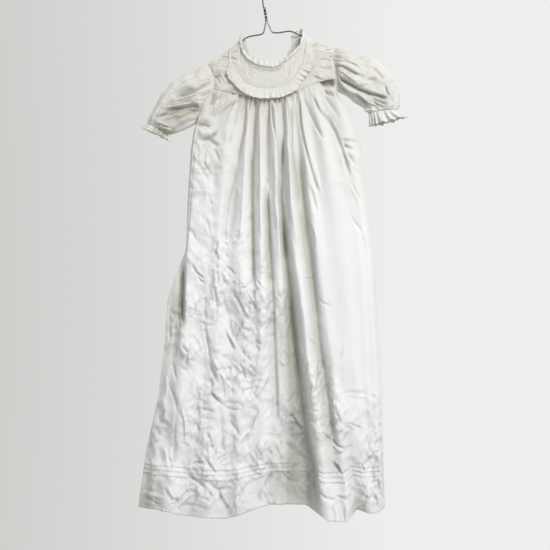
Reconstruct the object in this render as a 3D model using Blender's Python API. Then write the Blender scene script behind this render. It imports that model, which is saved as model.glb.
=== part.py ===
"""Long baby gown hanging on a bent wire hanger, as closed solids in metres, +Z up, front towards -Y.

Sizes below are millimetres. The origin is the inside top of the hanger's hook.
"""
import math

import bmesh
import bpy
from mathutils import Vector

# Driving dimensions
MM = 0.001
SEAM_GAP = 0.3
ARMHOLE_GAP = 0.7
SKIRT_WALL = 2.0
YOKE_WALL = 1.5
SLEEVE_WALL = 1.5
FRILL_WALL = 1.2
WIRE_RADIUS = 1.15
WIRE_SIDES = 8
HOOK_RADIUS = 17.0
TWIST_TURNS = 2.0
TWIST_RADIUS = 1.27
GATHER_LIFT = 1.7
GATHER_FADE = 1.1
TUCK_LIFT = 0.9
TUCK_PITCH = 7.5
TUCK_COUNT = 3
LOWEST_TUCK = 56.0
HEM_SPAN = 175.0
YOKE_TUCK_LIFT = 0.6
YOKE_FRILL_WAVES = 38
YOKE_FRILL_FLARE = 5.5
YOKE_FRILL_WAVE = 1.7
NECK_FRILL_STEP = 4.6
NECK_MIDDLE = (8.0, -125.0)
NECK_FRILL_WAVE = 1.3
SLEEVE_POINTS = 26
CUFF_WAVES = 14
SMOOTH_ANGLE = math.radians(35)

CLOTH = (0.83, 0.82, 0.78, 1.0)
STEEL = (0.11, 0.11, 0.11, 1.0)

# Shoulder ridge, carried across the neck: x, z, reach of the front, reach of the back
RIDGE = [
    (-93.0, -164.0, 9.0, 9.0),
    (-82.0, -156.5, 10.0, 9.5),
    (-70.0, -149.0, 11.0, 10.0),
    (-58.0, -139.5, 12.0, 11.0),
    (-41.5, -125.5, 14.0, 12.0),
    (-30.0, -118.0, 15.0, 12.5),
    (0.0, -112.0, 16.0, 13.0),
    (40.0, -111.0, 15.0, 12.5),
    (61.5, -118.0, 13.0, 12.0),
    (81.0, -128.0, 11.5, 11.0),
    (98.0, -132.0, 10.5, 10.0),
    (109.0, -138.0, 9.5, 9.5),
]

# Lower edge of the yoke: x, z
YOKE_LOW = [
    (-84.0, -207.0),
    (-70.0, -210.0),
    (-48.0, -214.5),
    (-25.0, -219.5),
    (5.0, -221.0),
    (29.0, -218.0),
    (50.0, -211.0),
    (64.0, -203.5),
    (80.0, -197.0),
    (97.0, -192.0),
    (112.0, -190.0),
]

# Columns of the front yoke: name, top x, top z, low x, parts to the next column, tuck between them
YOKE_FRONT = [
    ("armhole_left", -93.0, -164.0, -84.0, 2, 0),
    ("shoulder_left", -70.0, -149.0, -70.0, 2, 0),
    ("neck_left", -41.5, -125.5, -49.0, 2, 1),
    ("neck_side_left", -39.5, -140.0, -43.0, 2, 1),
    ("neck_fall_left", -37.0, -152.0, -36.0, 2, 1),
    ("neck_turn_left", -29.0, -163.5, -28.0, 2, 0),
    ("panel_left", -19.0, -170.5, -19.0, 2, 1),
    ("front_left", -10.0, -174.0, -10.0, 2, 0),
    ("front_right", 12.0, -176.5, 12.0, 2, 0),
    ("panel_right", 21.0, -173.0, 21.0, 2, 1),
    ("neck_turn_right", 29.0, -165.5, 30.0, 2, 1),
    ("band_left", 35.0, -160.5, 36.0, 2, 1),
    ("band_right", 45.0, -151.5, 44.0, 2, 1),
    ("neck_fall_right", 53.0, -142.5, 51.0, 2, 1),
    ("neck_side_right", 59.5, -130.0, 57.0, 2, 1),
    ("neck_right", 61.5, -118.0, 64.0, 2, 0),
    ("slope_right", 81.0, -128.0, 80.0, 2, 0),
    ("armhole_right", 109.0, -138.0, 112.0, 0, 0),
]
YOKE_ROWS = [0.0, 0.03, 0.1, 0.22, 0.4, 0.5, 0.58, 0.66, 0.74, 0.87, 1.0]
YOKE_CROSS_TUCKS = (5, 7)
CROSS_TUCK_REACH = (-36.0, 42.0)

# Columns of each back yoke, armhole to back opening: top x, top z, low x, parts
YOKE_BACK_LEFT = [
    (-93.0, -164.0, -84.0, 2),
    (-70.0, -149.0, -66.0, 3),
    (-41.5, -125.5, -34.0, 3),
    (-31.0, -133.0, -3.0, 0),
]
YOKE_BACK_RIGHT = [
    (109.0, -138.0, 112.0, 2),
    (81.0, -128.0, 76.0, 2),
    (61.5, -118.0, 44.0, 3),
    (42.0, -126.0, 4.0, 0),
]
YOKE_BACK_ROWS = [0.0, 0.03, 0.1, 0.22, 0.42, 0.7, 1.0]

# Frill round the yoke: seam x, seam z, edge x, edge z, side (-1 back, 0 ridge, 1 front)
YOKE_FRILL = [
    (-9.0, -203.0, -7.5, -220.0, -1),
    (-22.0, -199.0, -28.0, -214.0, -1),
    (-41.0, -185.0, -54.0, -195.0, -1),
    (-53.0, -161.0, -68.0, -172.0, -1),
    (-54.0, -136.0, -70.0, -149.0, 0),
    (-55.0, -157.0, -69.0, -168.0, 1),
    (-48.0, -173.0, -62.0, -187.0, 1),
    (-42.0, -184.0, -52.0, -199.0, 1),
    (-33.0, -196.0, -40.0, -211.0, 1),
    (-22.0, -203.0, -27.0, -219.0, 1),
    (-8.0, -206.5, -11.0, -223.0, 1),
    (5.0, -207.0, 5.0, -223.0, 1),
    (18.0, -205.5, 21.0, -221.5, 1),
    (30.0, -201.0, 37.0, -216.0, 1),
    (40.0, -194.0, 52.0, -206.0, 1),
    (48.0, -184.0, 62.0, -192.0, 1),
    (54.0, -171.0, 71.0, -178.0, 1),
    (60.0, -158.0, 77.0, -164.0, 1),
    (67.0, -121.0, 86.0, -129.5, 0),
    (63.0, -152.0, 80.0, -160.0, -1),
    (51.0, -178.0, 65.0, -190.0, -1),
    (30.0, -195.0, 38.0, -210.0, -1),
    (9.0, -203.0, 10.0, -219.0, -1),
]

# Frill standing on the neck edge: x, z, side, height, lean in x, lean forward
NECK_FRILL = [
    (-31.5, -132.6, -1, 9.0, -0.1, -0.35),
    (-37.0, -129.0, -1, 9.0, -0.2, -0.3),
    (-41.5, -125.5, 0, 8.0, -0.35, 0.0),
    (-39.5, -140.0, 1, 9.0, -0.3, 0.2),
    (-37.0, -152.0, 1, 9.0, -0.25, 0.35),
    (-29.0, -163.5, 1, 10.0, -0.1, 0.4),
    (-19.0, -170.5, 1, 10.0, 0.0, 0.4),
    (-10.0, -174.0, 1, 11.0, 0.0, 0.4),
    (12.0, -176.5, 1, 10.0, 0.0, 0.4),
    (21.0, -173.0, 1, 9.0, 0.05, 0.4),
    (29.0, -165.5, 1, 6.0, 0.1, 0.6),
    (35.0, -160.5, 1, 5.0, 0.1, 0.7),
    (45.0, -151.5, 1, 5.0, 0.1, 0.7),
    (53.0, -142.5, 1, 6.0, 0.1, 0.5),
    (59.5, -130.0, 1, 9.0, 0.0, 0.25),
    (61.5, -118.0, 0, 11.0, -0.1, 0.0),
    (52.0, -121.5, -1, 11.0, -0.1, -0.25),
    (42.5, -125.6, -1, 10.0, -0.1, -0.3),
]

# Sides of the gown below the shoulders, armhole then side seam: z, x, depth in front
SIDE_LEFT = [
    (-164.0, -93.0, 0.0),
    (-177.0, -88.0, 5.0),
    (-194.0, -82.0, 8.0),
    (-207.0, -84.0, 9.0),
    (-226.0, -98.0, 7.0),
    (-244.0, -106.0, 4.0),
    (-257.0, -110.0, 2.2),
    (-270.0, -115.0, 2.2),
    (-302.0, -120.0, 2.2),
    (-382.0, -125.0, 2.2),
    (-462.0, -128.0, 2.2),
    (-502.0, -144.0, 2.2),
    (-542.0, -157.0, 2.2),
    (-621.0, -163.0, 2.2),
    (-701.0, -173.0, 2.2),
    (-781.0, -191.0, 2.2),
    (-900.0, -208.0, 2.2),
]
SIDE_RIGHT = [
    (-138.0, 109.0, 0.0),
    (-158.0, 107.0, 6.0),
    (-176.0, 112.0, 8.5),
    (-190.0, 112.0, 9.5),
    (-209.0, 113.5, 3.0),
    (-218.0, 117.0, 2.2),
    (-233.0, 130.0, 2.2),
    (-254.0, 140.0, 2.2),
    (-286.0, 150.0, 2.2),
    (-326.0, 155.0, 2.2),
    (-382.0, 161.0, 2.2),
    (-430.0, 166.0, 2.2),
    (-481.0, 174.0, 2.2),
    (-542.0, 176.0, 2.2),
    (-621.0, 182.0, 2.2),
    (-701.0, 185.0, 2.2),
    (-781.0, 187.0, 2.2),
    (-900.0, 191.0, 2.2),
]
UNDERARM_LEFT = -257.0
UNDERARM_RIGHT = -206.0

# Heights the fold tables are read at, between the yoke edge and the hem
STATIONS = (-262.0, -438.0, -542.0, -702.0)

# Folds of the front skirt: name, x at yoke edge, stations and hem, depth at the same, hem z, parts
FRONT_FOLDS = [
    ("side_left", (-84, -113, -126, -157, -173, -204), (8, 2, 2, 2, 2, 2), -872, 2),
    ("groove_left", (-77, -110, -125, -139, -159, -181), (8, 3.5, 5, 3.5, 8, 10), -873, 2),
    ("edge_left", (-70, -103, -121, -127, -134, -154), (9, 8, 13, 18, 20, 22), -874, 3),
    ("valley_a", (-59, -79, -89, -93, -104, -127), (9, 9, 10, 12, 13, 13), -883, 2),
    ("ridge_b", (-46, -60, -74, -77, -82, -94), (11, 13, 15, 16, 19, 24), -883, 3),
    ("valley_c", (-30, -38, -60, -58, -57, -63), (11, 7, 8, 12, 14, 19), -886, 2),
    ("ridge_d", (-22, -29, -41, -39, -41, -44), (13, 14, 16, 17, 18, 26), -879, 3),
    ("valley_e", (-13, -19, -21, -20, -24, -25), (12, 6, 8, 13, 15, 22), -873, 2),
    ("ridge_f", (-5, -9, -7, -6, -6, -9), (14, 14, 18, 19, 18, 22), -867, 3),
    ("valley_g", (4, 2, 7, 11, 10, 6), (13, 6, 8, 9, 11, 14), -865, 2),
    ("ridge_h", (14, 14, 21, 27, 33, 32), (14, 14, 17, 18, 14, 9), -865, 3),
    ("valley_i", (25, 26, 34, 40, 53, 59), (12, 5, 5, 3, 3, 3), -867, 2),
    ("ridge_j", (33, 38, 48, 58, 77, 98), (13, 14, 19, 24, 28, 36), -884, 2),
    ("valley_k", (43, 48, 64, 79, 98, 118), (12, 6, 8, 11, 16, 30), -887, 2),
    ("ridge_l", (52, 59, 79, 93, 112, 127), (12, 14, 18, 18, 24, 30), -887, 2),
    ("valley_m", (62, 72, 94, 109, 125, 144), (11, 7, 14, 16, 17, 12), -873, 3),
    ("ridge_n", (73, 86, 114, 126, 142, 164), (11, 13, 18, 19, 19, 24), -877, 3),
    ("valley_o", (86, 102, 142, 150, 160, 177), (9, 5, 12, 12, 11, 14), -877, 2),
    ("ridge_p", (100, 122, 155, 166, 173, 182), (9, 9, 11, 10, 10, 12), -874, 3),
    ("side_right", (112, 143, 167, 176, 185, 190), (8, 2, 2, 2, 2, 2), -872, 0),
]
FRONT_ROWS = [0.0, 0.1, 0.24, 0.42, 0.66, 1.0, 1.25, 1.5, 1.75, 2.0, 2.35, 2.7, 3.0, 3.25, 3.5, 3.75, 4.0, 4.2, 4.4]
FRONT_LAST_ROWS = [4.75, 4.84, 4.92, 5.0]

# Back skirt: rows down, columns each side of the centre, folds across
BACK_ROWS = [0.0, 0.12, 0.35, 0.65, 1.0, 1.4, 1.8, 2.4, 3.0, 3.5, 4.0, 4.35]
BACK_LAST_ROWS = [4.8, 5.0]
BACK_COLUMNS = 15
BACK_FOLDS = 4.0
BACK_DEPTH = (12.0, 15.0, 17.0, 18.0, 19.0, 20.0)
BACK_FOLD_LIFT = (0.0, 3.0, 4.0, 4.5, 5.0, 5.5)
BACK_HEM_Z = -868.0
SLIT_LAST_ROW = 4
SLIT_HALF_WIDTH = 2.0

# Sleeve rings after the armhole: top x, top z, low x, low z, depth, gather, bow towards the body
SLEEVE_LEFT = [
    (-104.0, -168.5, -113.0, -259.0, 14.0, 2.0, 11.0),
    (-118.0, -176.0, -118.0, -261.5, 18.0, 2.4, 6.0),
    (-134.0, -184.0, -124.0, -264.0, 21.0, 2.0, 2.0),
    (-150.0, -193.0, -130.0, -267.0, 22.0, 1.5, -2.0),
    (-162.0, -207.0, -136.0, -270.0, 21.0, 1.2, -4.0),
    (-174.0, -226.0, -143.0, -273.0, 19.0, 1.4, -5.0),
    (-184.0, -243.0, -149.0, -275.0, 16.0, 1.8, -4.0),
    (-188.0, -254.0, -153.0, -276.5, 12.0, 1.5, -1.0),
    (-189.0, -259.0, -156.0, -278.0, 10.0, 0.8, 0.0),
]
SLEEVE_RIGHT = [
    (119.0, -138.5, 119.0, -210.0, 14.0, 2.0, -4.0),
    (133.0, -142.0, 126.5, -213.0, 18.0, 2.4, -2.0),
    (150.0, -149.0, 134.0, -218.5, 21.0, 2.0, 0.0),
    (172.0, -154.0, 141.0, -225.0, 22.0, 1.5, 3.0),
    (191.0, -168.0, 149.0, -230.0, 21.0, 1.2, 5.0),
    (204.0, -190.0, 156.0, -234.0, 19.0, 1.4, 5.0),
    (211.0, -213.0, 159.0, -237.0, 16.0, 1.8, 3.0),
    (213.0, -229.0, 162.0, -240.0, 13.0, 1.5, 1.0),
    (211.0, -237.0, 164.0, -243.0, 11.0, 0.8, 0.0),
]

# Cuff frills, seam then middle then edge: top x, top z, low x, low z, depth, wave
CUFF_LEFT = [
    (-189.2, -259.3, -156.2, -278.3, 10.0, 0.4),
    (-194.0, -263.5, -154.5, -283.0, 12.5, 1.8),
    (-199.0, -267.0, -152.5, -287.0, 15.0, 3.0),
]
CUFF_RIGHT = [
    (211.0, -237.35, 164.05, -243.35, 11.0, 0.4),
    (217.0, -244.0, 166.0, -254.0, 13.5, 1.8),
    (224.0, -250.0, 168.0, -264.0, 16.0, 3.0),
]

# Hanger wire below its neck, centre line: x, z
ARM_LEFT = [
    (-3.2, -111.5),
    (-5.5, -115.2),
    (-10.0, -117.3),
    (-18.0, -118.4),
    (-27.0, -120.3),
    (-34.6, -124.0),
    (-41.5, -130.3),
    (-58.0, -143.9),
    (-70.0, -153.6),
    (-93.0, -169.0),
    (-118.0, -182.2),
    (-136.0, -193.6),
    (-141.5, -197.8),
    (-143.5, -201.5),
    (-141.5, -204.9),
    (-136.5, -205.2),
]
ARM_RIGHT = [
    (158.0, -167.2),
    (163.5, -166.4),
    (165.5, -163.4),
    (164.0, -160.1),
    (158.0, -157.6),
    (133.0, -149.8),
    (109.0, -142.4),
    (98.0, -137.6),
    (81.0, -132.4),
    (61.5, -122.8),
    (56.0, -119.3),
    (45.0, -113.6),
    (40.0, -112.0),
    (34.0, -111.7),
    (22.0, -113.9),
    (13.0, -114.0),
    (9.2, -112.0),
    (7.6, -108.6),
]
TWIST_TOP = (-2.9, -73.5)
TWIST_LOW = (0.8, -95.0)
HOOK_STEM = [(-8.5, -46.0), (-6.6, -56.0), (-5.0, -65.0)]


def read(table, key, column):
    """Value of a column of a table whose first column runs one way, straight between the rows."""
    rows = table if table[0][0] < table[-1][0] else table[::-1]
    if key <= rows[0][0]:
        return rows[0][column]
    for low, high in zip(rows, rows[1:]):
        if key <= high[0]:
            share = (key - low[0]) / (high[0] - low[0])
            return low[column] + (high[column] - low[column]) * share
    return rows[-1][column]


def spline(values, place):
    """Smooth curve through values, read at place 0..len-1."""
    last = len(values) - 1
    i = min(int(place), last - 1)
    t = place - i
    a, b = values[i], values[i + 1]
    slope_a = (b - values[i - 1]) / 2 if i > 0 else b - a
    slope_b = (values[i + 2] - a) / 2 if i + 2 <= last else b - a
    t2, t3 = t * t, t * t * t
    return (
        a * (2 * t3 - 3 * t2 + 1)
        + b * (3 * t2 - 2 * t3)
        + slope_a * (t3 - 2 * t2 + t)
        + slope_b * (t3 - t2)
    )


def blend(a, b, share):
    return a + (b - a) * share


def soft(share):
    return share * share * (3 - 2 * share)


def material(name, colour, roughness, metallic):
    made = bpy.data.materials.new(name)
    made.use_nodes = True
    shader = made.node_tree.nodes["Principled BSDF"]
    shader.inputs["Base Color"].default_value = colour
    shader.inputs["Roughness"].default_value = roughness
    shader.inputs["Metallic"].default_value = metallic
    made.diffuse_color = colour
    return made


def finish(name, bm, colour, roughness, metallic):
    """Mesh of bm as a named object with its own material, faces outward, smooth but for its edges."""
    bmesh.ops.triangulate(bm, faces=bm.faces[:], quad_method="FIXED")
    if bm.calc_volume(signed=True) < 0:
        bmesh.ops.reverse_faces(bm, faces=bm.faces[:])
    mesh = bpy.data.meshes.new(name)
    bm.to_mesh(mesh)
    bm.free()
    mesh.materials.append(material(name + "_material", colour, roughness, metallic))
    mesh.shade_smooth()
    mesh.set_sharp_from_angle(angle=SMOOTH_ANGLE)
    made = bpy.data.objects.new(name, mesh)
    bpy.context.scene.collection.objects.link(made)
    return made


def wall(name, outer, inner, faces):
    """Closed cloth wall: outer points, inner points and a strip round every free edge."""
    bm = bmesh.new()
    shift = len(outer)
    verts = [bm.verts.new(Vector(p) * MM) for p in list(outer) + list(inner)]
    edges = set()
    for face in faces:
        bm.faces.new([verts[i] for i in face])
        bm.faces.new([verts[i + shift] for i in reversed(face)])
        edges.update(zip(face, face[1:] + face[:1]))
    for a, b in sorted(edges):
        if (b, a) not in edges:
            bm.faces.new([verts[b], verts[a], verts[a + shift], verts[b + shift]])
    return finish(name, bm, CLOTH, 0.85, 0.0)


def grid_faces(rows, columns, ring=False):
    """Quads of a grid of points kept row by row; a ring joins its last column to its first."""
    faces = []
    for r in range(rows - 1):
        for c in range(columns if ring else columns - 1):
            d = (c + 1) % columns
            faces.append([r * columns + c, r * columns + d, (r + 1) * columns + d, (r + 1) * columns + c])
    return faces


def tube(name, path, radius, sides):
    """Round wire swept along a path, with flat ends."""
    bm = bmesh.new()
    points = [Vector(p) for p in path]
    tangents = []
    for i in range(len(points)):
        tangents.append((points[min(i + 1, len(points) - 1)] - points[max(i - 1, 0)]).normalized())
    across = Vector((0, 1, 0))
    rings = []
    for point, tangent in zip(points, tangents):
        across = (across - tangent * across.dot(tangent)).normalized()
        up = tangent.cross(across)
        ring = []
        for k in range(sides):
            turn = 2 * math.pi * (k + 0.5) / sides
            ring.append(bm.verts.new((point + (across * math.cos(turn) + up * math.sin(turn)) * radius) * MM))
        rings.append(ring)
    for first, second in zip(rings, rings[1:]):
        for k in range(sides):
            n = (k + 1) % sides
            bm.faces.new([first[k], first[n], second[n], second[k]])
    bm.faces.new(rings[0][::-1])
    bm.faces.new(rings[-1])
    return finish(name, bm, STEEL, 0.4, 1.0)


def yoke_angle(x, z, side):
    """Angle round the yoke of a point at x and z: 0 on the ridge, 90 at the low edge, signed by side."""
    top, low = read(RIDGE, x, 1), read(YOKE_LOW, x, 1)
    if z < low:
        return side * (90.0 + low - z)
    return side * max(0.01, math.degrees(math.acos(max(-1.0, min(1.0, 1 - (top - z) / (top - low))))))


def yoke_point(x, angle):
    """Point and outward direction of the yoke's outer face; past 90 degrees it drops straight."""
    side = 1.0 if angle >= 0 else -1.0
    turn = math.radians(min(abs(angle), 90.0))
    top, low = read(RIDGE, x, 1), read(YOKE_LOW, x, 1)
    reach = read(RIDGE, x, 2 if side > 0 else 3)
    rise = top - low
    out = Vector((0, -side * math.sin(turn) / reach, math.cos(turn) / rise)).normalized()
    z = top - rise * (1 - math.cos(turn)) - max(0.0, abs(angle) - 90.0)
    return Vector((x, -side * (reach * math.sin(turn) + SEAM_GAP / 2), z)), out


def armhole_bend(table, top_x, low_x, z, top_z, low_z):
    """Sideways step from a straight column to the armhole curve at height z."""
    share = (top_z - z) / (top_z - low_z)
    return read(table, z, 1) - blend(top_x, low_x, share)


def yoke(name, columns, rows, side, cross_tucks=()):
    """Yoke sheet: columns from ridge or neck edge down to the low edge, tucks raised outside only."""
    spread = []
    for (first, second) in zip(columns, columns[1:]):
        parts = first[3]
        for k in range(parts):
            share = k / parts
            lift = YOKE_TUCK_LIFT if (k % 2 == 1 and len(first) > 4 and first[4]) else 0.0
            spread.append([blend(first[n], second[n], share) for n in range(3)] + [lift])
    spread.append(list(columns[-1][:3]) + [0.0])
    outer, inner = [], []
    for r, row in enumerate(rows):
        for c, (top_x, top_z, low_x, lift) in enumerate(spread):
            low_z = read(YOKE_LOW, low_x, 1)
            z = blend(top_z, low_z, row)
            x = blend(top_x, low_x, row)
            for end in (0, len(spread) - 1):
                share = max(0.0, 1 - abs(c - end) / 3)
                arm = spread[end]
                if share > 0 and abs(arm[0]) > 90:
                    table = SIDE_LEFT if arm[0] < 0 else SIDE_RIGHT
                    arm_low = read(YOKE_LOW, arm[2], 1)
                    arm_z = blend(arm[1], arm_low, row)
                    x += share * armhole_bend(table, arm[0], arm[2], arm_z, arm[1], arm_low)
            point, out = yoke_point(x, yoke_angle(x, z, side))
            rise = lift if 0 < r < (cross_tucks[0] if cross_tucks else len(rows)) else 0.0
            if r in cross_tucks and CROSS_TUCK_REACH[0] < x < CROSS_TUCK_REACH[1]:
                rise = YOKE_TUCK_LIFT
            inner.append(point - out * YOKE_WALL)
            outer.append(point + out * rise)
    return wall(name, outer, inner, grid_faces(len(rows), len(spread)))


def frill_round_yoke(name):
    """Gathered frill from back opening to back opening, its seam on the yoke and its edge lifted off."""
    seam = [(x, yoke_angle(x, z, side or 1) if side else 0.0) for x, z, _, _, side in YOKE_FRILL]
    edge = [(x, yoke_angle(x, z, side or 1) if side else 0.0) for _, _, x, z, side in YOKE_FRILL]
    columns = 2 * YOKE_FRILL_WAVES + 1
    outer, inner = [], []
    for across, share in enumerate((0.0, 0.5, 1.0)):
        for c in range(columns):
            place = c * (len(seam) - 1) / (columns - 1)
            x = blend(spline([p[0] for p in seam], place), spline([p[0] for p in edge], place), share)
            turn = blend(spline([p[1] for p in seam], place), spline([p[1] for p in edge], place), share)
            point, out = yoke_point(x, turn)
            wave = (1 if c % 2 else -1) * YOKE_FRILL_WAVE * share * (0.8 + 0.2 * math.sin(1.9 * c))
            lift = SEAM_GAP * 2 + FRILL_WALL + YOKE_TUCK_LIFT + YOKE_FRILL_FLARE * share + wave
            outer.append(point + out * lift)
            inner.append(point + out * (lift - FRILL_WALL))
    return wall(name, outer, inner, grid_faces(3, columns))


def frill_on_neck(name):
    """Narrow frill standing on the neck edge from back opening to back opening."""
    centre = []
    for first, second in zip(NECK_FRILL, NECK_FRILL[1:]):
        side = first[2] or second[2]
        parts = max(1, round(math.dist(first[:2], second[:2]) / NECK_FRILL_STEP))
        for k in range(parts + (second is NECK_FRILL[-1])):
            x, z, _, height, lean_x, lean_front = (blend(a, b, k / parts) for a, b in zip(first, second))
            on_ridge = first[2] == 0 and k == 0
            point, _ = yoke_point(x, 0.0 if on_ridge else yoke_angle(x, z, side))
            if on_ridge:
                point.y = 0.0
            centre.append((point, Vector((lean_x, -lean_front, 1.0)).normalized() * height))
    outer, inner = [], []
    for share in (0.0, 0.5, 1.0):
        for c, (point, lean) in enumerate(centre):
            ahead = centre[min(c + 1, len(centre) - 1)][0] - centre[max(c - 1, 0)][0]
            out = lean.cross(ahead).normalized()
            wave = (1 if c % 2 else -1) * NECK_FRILL_WAVE * share
            clear = Vector((NECK_MIDDLE[0] - point.x, 0, NECK_MIDDLE[1] - point.z)).normalized()
            place = point + lean * share + out * wave + clear * (2 * SEAM_GAP + FRILL_WALL / 2)
            outer.append(place + out * FRILL_WALL / 2)
            inner.append(place - out * FRILL_WALL / 2)
    return wall(name, outer, inner, grid_faces(3, len(centre)))


def hem_rows(before, after):
    """Rows down a skirt: before the tucks, a foot and a fold for each tuck, after the tucks."""
    rows = [(row, 0.0) for row in before]
    top = LOWEST_TUCK + TUCK_PITCH * TUCK_COUNT
    for k in range(TUCK_COUNT):
        fold = top - TUCK_PITCH * (k + 1)
        rows.append((5.0 - (fold + TUCK_PITCH - 0.6) / HEM_SPAN, 0.0))
        rows.append((5.0 - fold / HEM_SPAN, TUCK_LIFT))
    rows.append((5.0 - (LOWEST_TUCK - 0.6) / HEM_SPAN, 0.0))
    return rows + [(row, 0.0) for row in after]


def skirt_front(name):
    """Front skirt: folds from the table, gathers under the yoke, tucks above the hem."""
    guides = []
    for _, places, depths, hem_z, parts in FRONT_FOLDS:
        top_z = read(YOKE_LOW, places[0], 1) - 2 * SEAM_GAP
        guides.append((places, depths, (top_z,) + STATIONS + (hem_z,), parts))
    columns = []
    for i, guide in enumerate(guides):
        for k in range(guide[3]):
            columns.append((i, k / guide[3]))
    columns.append((len(guides) - 2, 1.0))
    outer, inner = [], []
    rows = hem_rows(FRONT_ROWS, FRONT_LAST_ROWS)
    for row, tuck in rows:
        gather = GATHER_LIFT * max(0.0, 1 - row / GATHER_FADE)
        line = [[spline(values, row) for values in guide[:3]] for guide in guides]
        for end, side in ((line[0], SIDE_LEFT), (line[-1], SIDE_RIGHT)):
            end[0], end[1] = read(side, end[2], 1), read(side, end[2], 2)
        for c, (i, share) in enumerate(columns):
            first, second = line[i], line[i + 1]
            x = blend(first[0], second[0], share)
            z = blend(first[2], second[2], share)
            depth = blend(first[1], second[1], soft(share))
            if 0 < c < len(columns) - 1:
                depth += gather * (1 if c % 2 else -1)
            outer.append(Vector((x, -depth - tuck, z)))
            inner.append(Vector((x, -depth + SKIRT_WALL, z)))
    return wall(name, outer, inner, grid_faces(len(rows), len(columns)))


def skirt_back(name):
    """Back skirt: soft folds, a slit at the centre that carries on from the yoke opening."""
    rows = hem_rows(BACK_ROWS, BACK_LAST_ROWS)
    outer, inner, index = [], [], {}
    for r, (row, tuck) in enumerate(rows):
        gather = GATHER_LIFT * max(0.0, 1 - row / GATHER_FADE)
        for half in (-1, 1):
            table = SIDE_LEFT if half < 0 else SIDE_RIGHT
            for c in range(BACK_COLUMNS + 1):
                if c == 0 and r > SLIT_LAST_ROW and half > 0:
                    index[r, half, c] = index[r, -1, 0]
                    continue
                share = c / BACK_COLUMNS
                top_x = half * SLIT_HALF_WIDTH + share * (table_top(half) - half * SLIT_HALF_WIDTH)
                top_z = read(YOKE_LOW, top_x, 1) - 2 * SEAM_GAP
                z = spline((top_z,) + STATIONS + (BACK_HEM_Z,), row)
                middle = half * SLIT_HALF_WIDTH if r <= SLIT_LAST_ROW else 0.0
                x = blend(middle, read(table, z, 1), share)
                depth = spline(BACK_DEPTH, row)
                depth += spline(BACK_FOLD_LIFT, row) * math.cos(2 * math.pi * BACK_FOLDS * share + half)
                depth = blend(depth, read(table, z, 2), soft(max(0.0, share * 4 - 3)))
                if 0 < c < BACK_COLUMNS:
                    depth += gather * (1 if c % 2 else -1)
                index[r, half, c] = len(outer)
                outer.append(Vector((x, depth + SEAM_GAP + tuck, z)))
                inner.append(Vector((x, depth + SEAM_GAP - SKIRT_WALL, z)))
    faces = []
    for r in range(len(rows) - 1):
        for half in (-1, 1):
            for c in range(BACK_COLUMNS):
                quad = [index[r, half, c], index[r, half, c + 1], index[r + 1, half, c + 1], index[r + 1, half, c]]
                faces.append(quad if half > 0 else quad[::-1])
    return wall(name, outer, inner, faces)


def table_top(half):
    """Sideways place of the armhole end of the yoke's low edge."""
    return YOKE_LOW[0][0] if half < 0 else YOKE_LOW[-1][0]


def ring(top, low, depth, bow, lift_of, thickness):
    """Points round one sleeve section, with the wall's outer and inner points."""
    centre = (top + low) / 2
    up = (top - low) / 2
    height = up.length
    up_way = up.normalized()
    outer, inner = [], []
    for k in range(SLEEVE_POINTS):
        turn = 2 * math.pi * k / SLEEVE_POINTS
        out = (up_way * math.cos(turn) / height + Vector((0, -math.sin(turn) / depth, 0))).normalized()
        bend = Vector((bow * math.sin(turn) ** 2, 0, 0))
        point = centre + up * math.cos(turn) + Vector((0, -depth * math.sin(turn), 0)) + bend
        point += out * lift_of(k)
        outer.append(point)
        inner.append(point - out * thickness)
    return outer, inner


def armhole_ring(side_table, underarm, shift):
    """First ring of a sleeve, a gap outside the armhole edges of yoke and skirt."""
    top_z = side_table[0][0]
    outer, inner = [], []
    middle = Vector((0, 0, (top_z + underarm) / 2))
    for k in range(SLEEVE_POINTS):
        turn = 2 * math.pi * k / SLEEVE_POINTS
        z = blend(top_z, underarm, (1 - math.cos(turn)) / 2)
        x = read(side_table, z, 1)
        low = read(YOKE_LOW, x, 1)
        side = 1.0 if math.sin(turn) >= 0 else -1.0
        if z > low:
            depth = -yoke_point(x, yoke_angle(x, z, 1))[0].y
        else:
            depth = read(side_table, z, 2)
        if k in (0, SLEEVE_POINTS // 2):
            depth = 0.0
        height = (top_z - underarm) / 2
        out = Vector((0, -math.sin(turn) / 9.0, math.cos(turn) / height)).normalized()
        point = Vector((x + shift, -side * depth, z))
        outer.append(point)
        inner.append(point - out * SLEEVE_WALL)
    return outer, inner


def sleeve(name, side_table, underarm, shift, rings):
    """Puffed sleeve from the armhole to the cuff seam, gathered at both ends."""
    outer, inner = armhole_ring(side_table, underarm, shift)
    for top_x, top_z, low_x, low_z, depth, gather, bow in rings:
        more_outer, more_inner = ring(
            Vector((top_x, 0, top_z)),
            Vector((low_x, 0, low_z)),
            depth,
            bow,
            lambda k: gather * (1 if k % 2 else -1),
            SLEEVE_WALL,
        )
        outer += more_outer
        inner += more_inner
    return wall(name, outer, inner, grid_faces(len(rings) + 1, SLEEVE_POINTS, ring=True))


def cuff_frill(name, rings):
    """Pleated frill round the cuff, open below."""
    points = 2 * CUFF_WAVES
    outer, inner = [], []
    for top_x, top_z, low_x, low_z, depth, wave in rings:
        top, low = Vector((top_x, 0, top_z)), Vector((low_x, 0, low_z))
        centre, up = (top + low) / 2, (top - low) / 2
        for k in range(points):
            turn = 2 * math.pi * k / points
            out = up.normalized() * math.cos(turn) / up.length + Vector((0, -math.sin(turn) / depth, 0))
            out.normalize()
            point = centre + up * math.cos(turn) + Vector((0, -depth * math.sin(turn), 0))
            point += out * wave * (1 if k % 2 else -1)
            outer.append(point)
            inner.append(point - out * FRILL_WALL)
    return wall(name, outer, inner, grid_faces(len(rings), points, ring=True))


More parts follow.
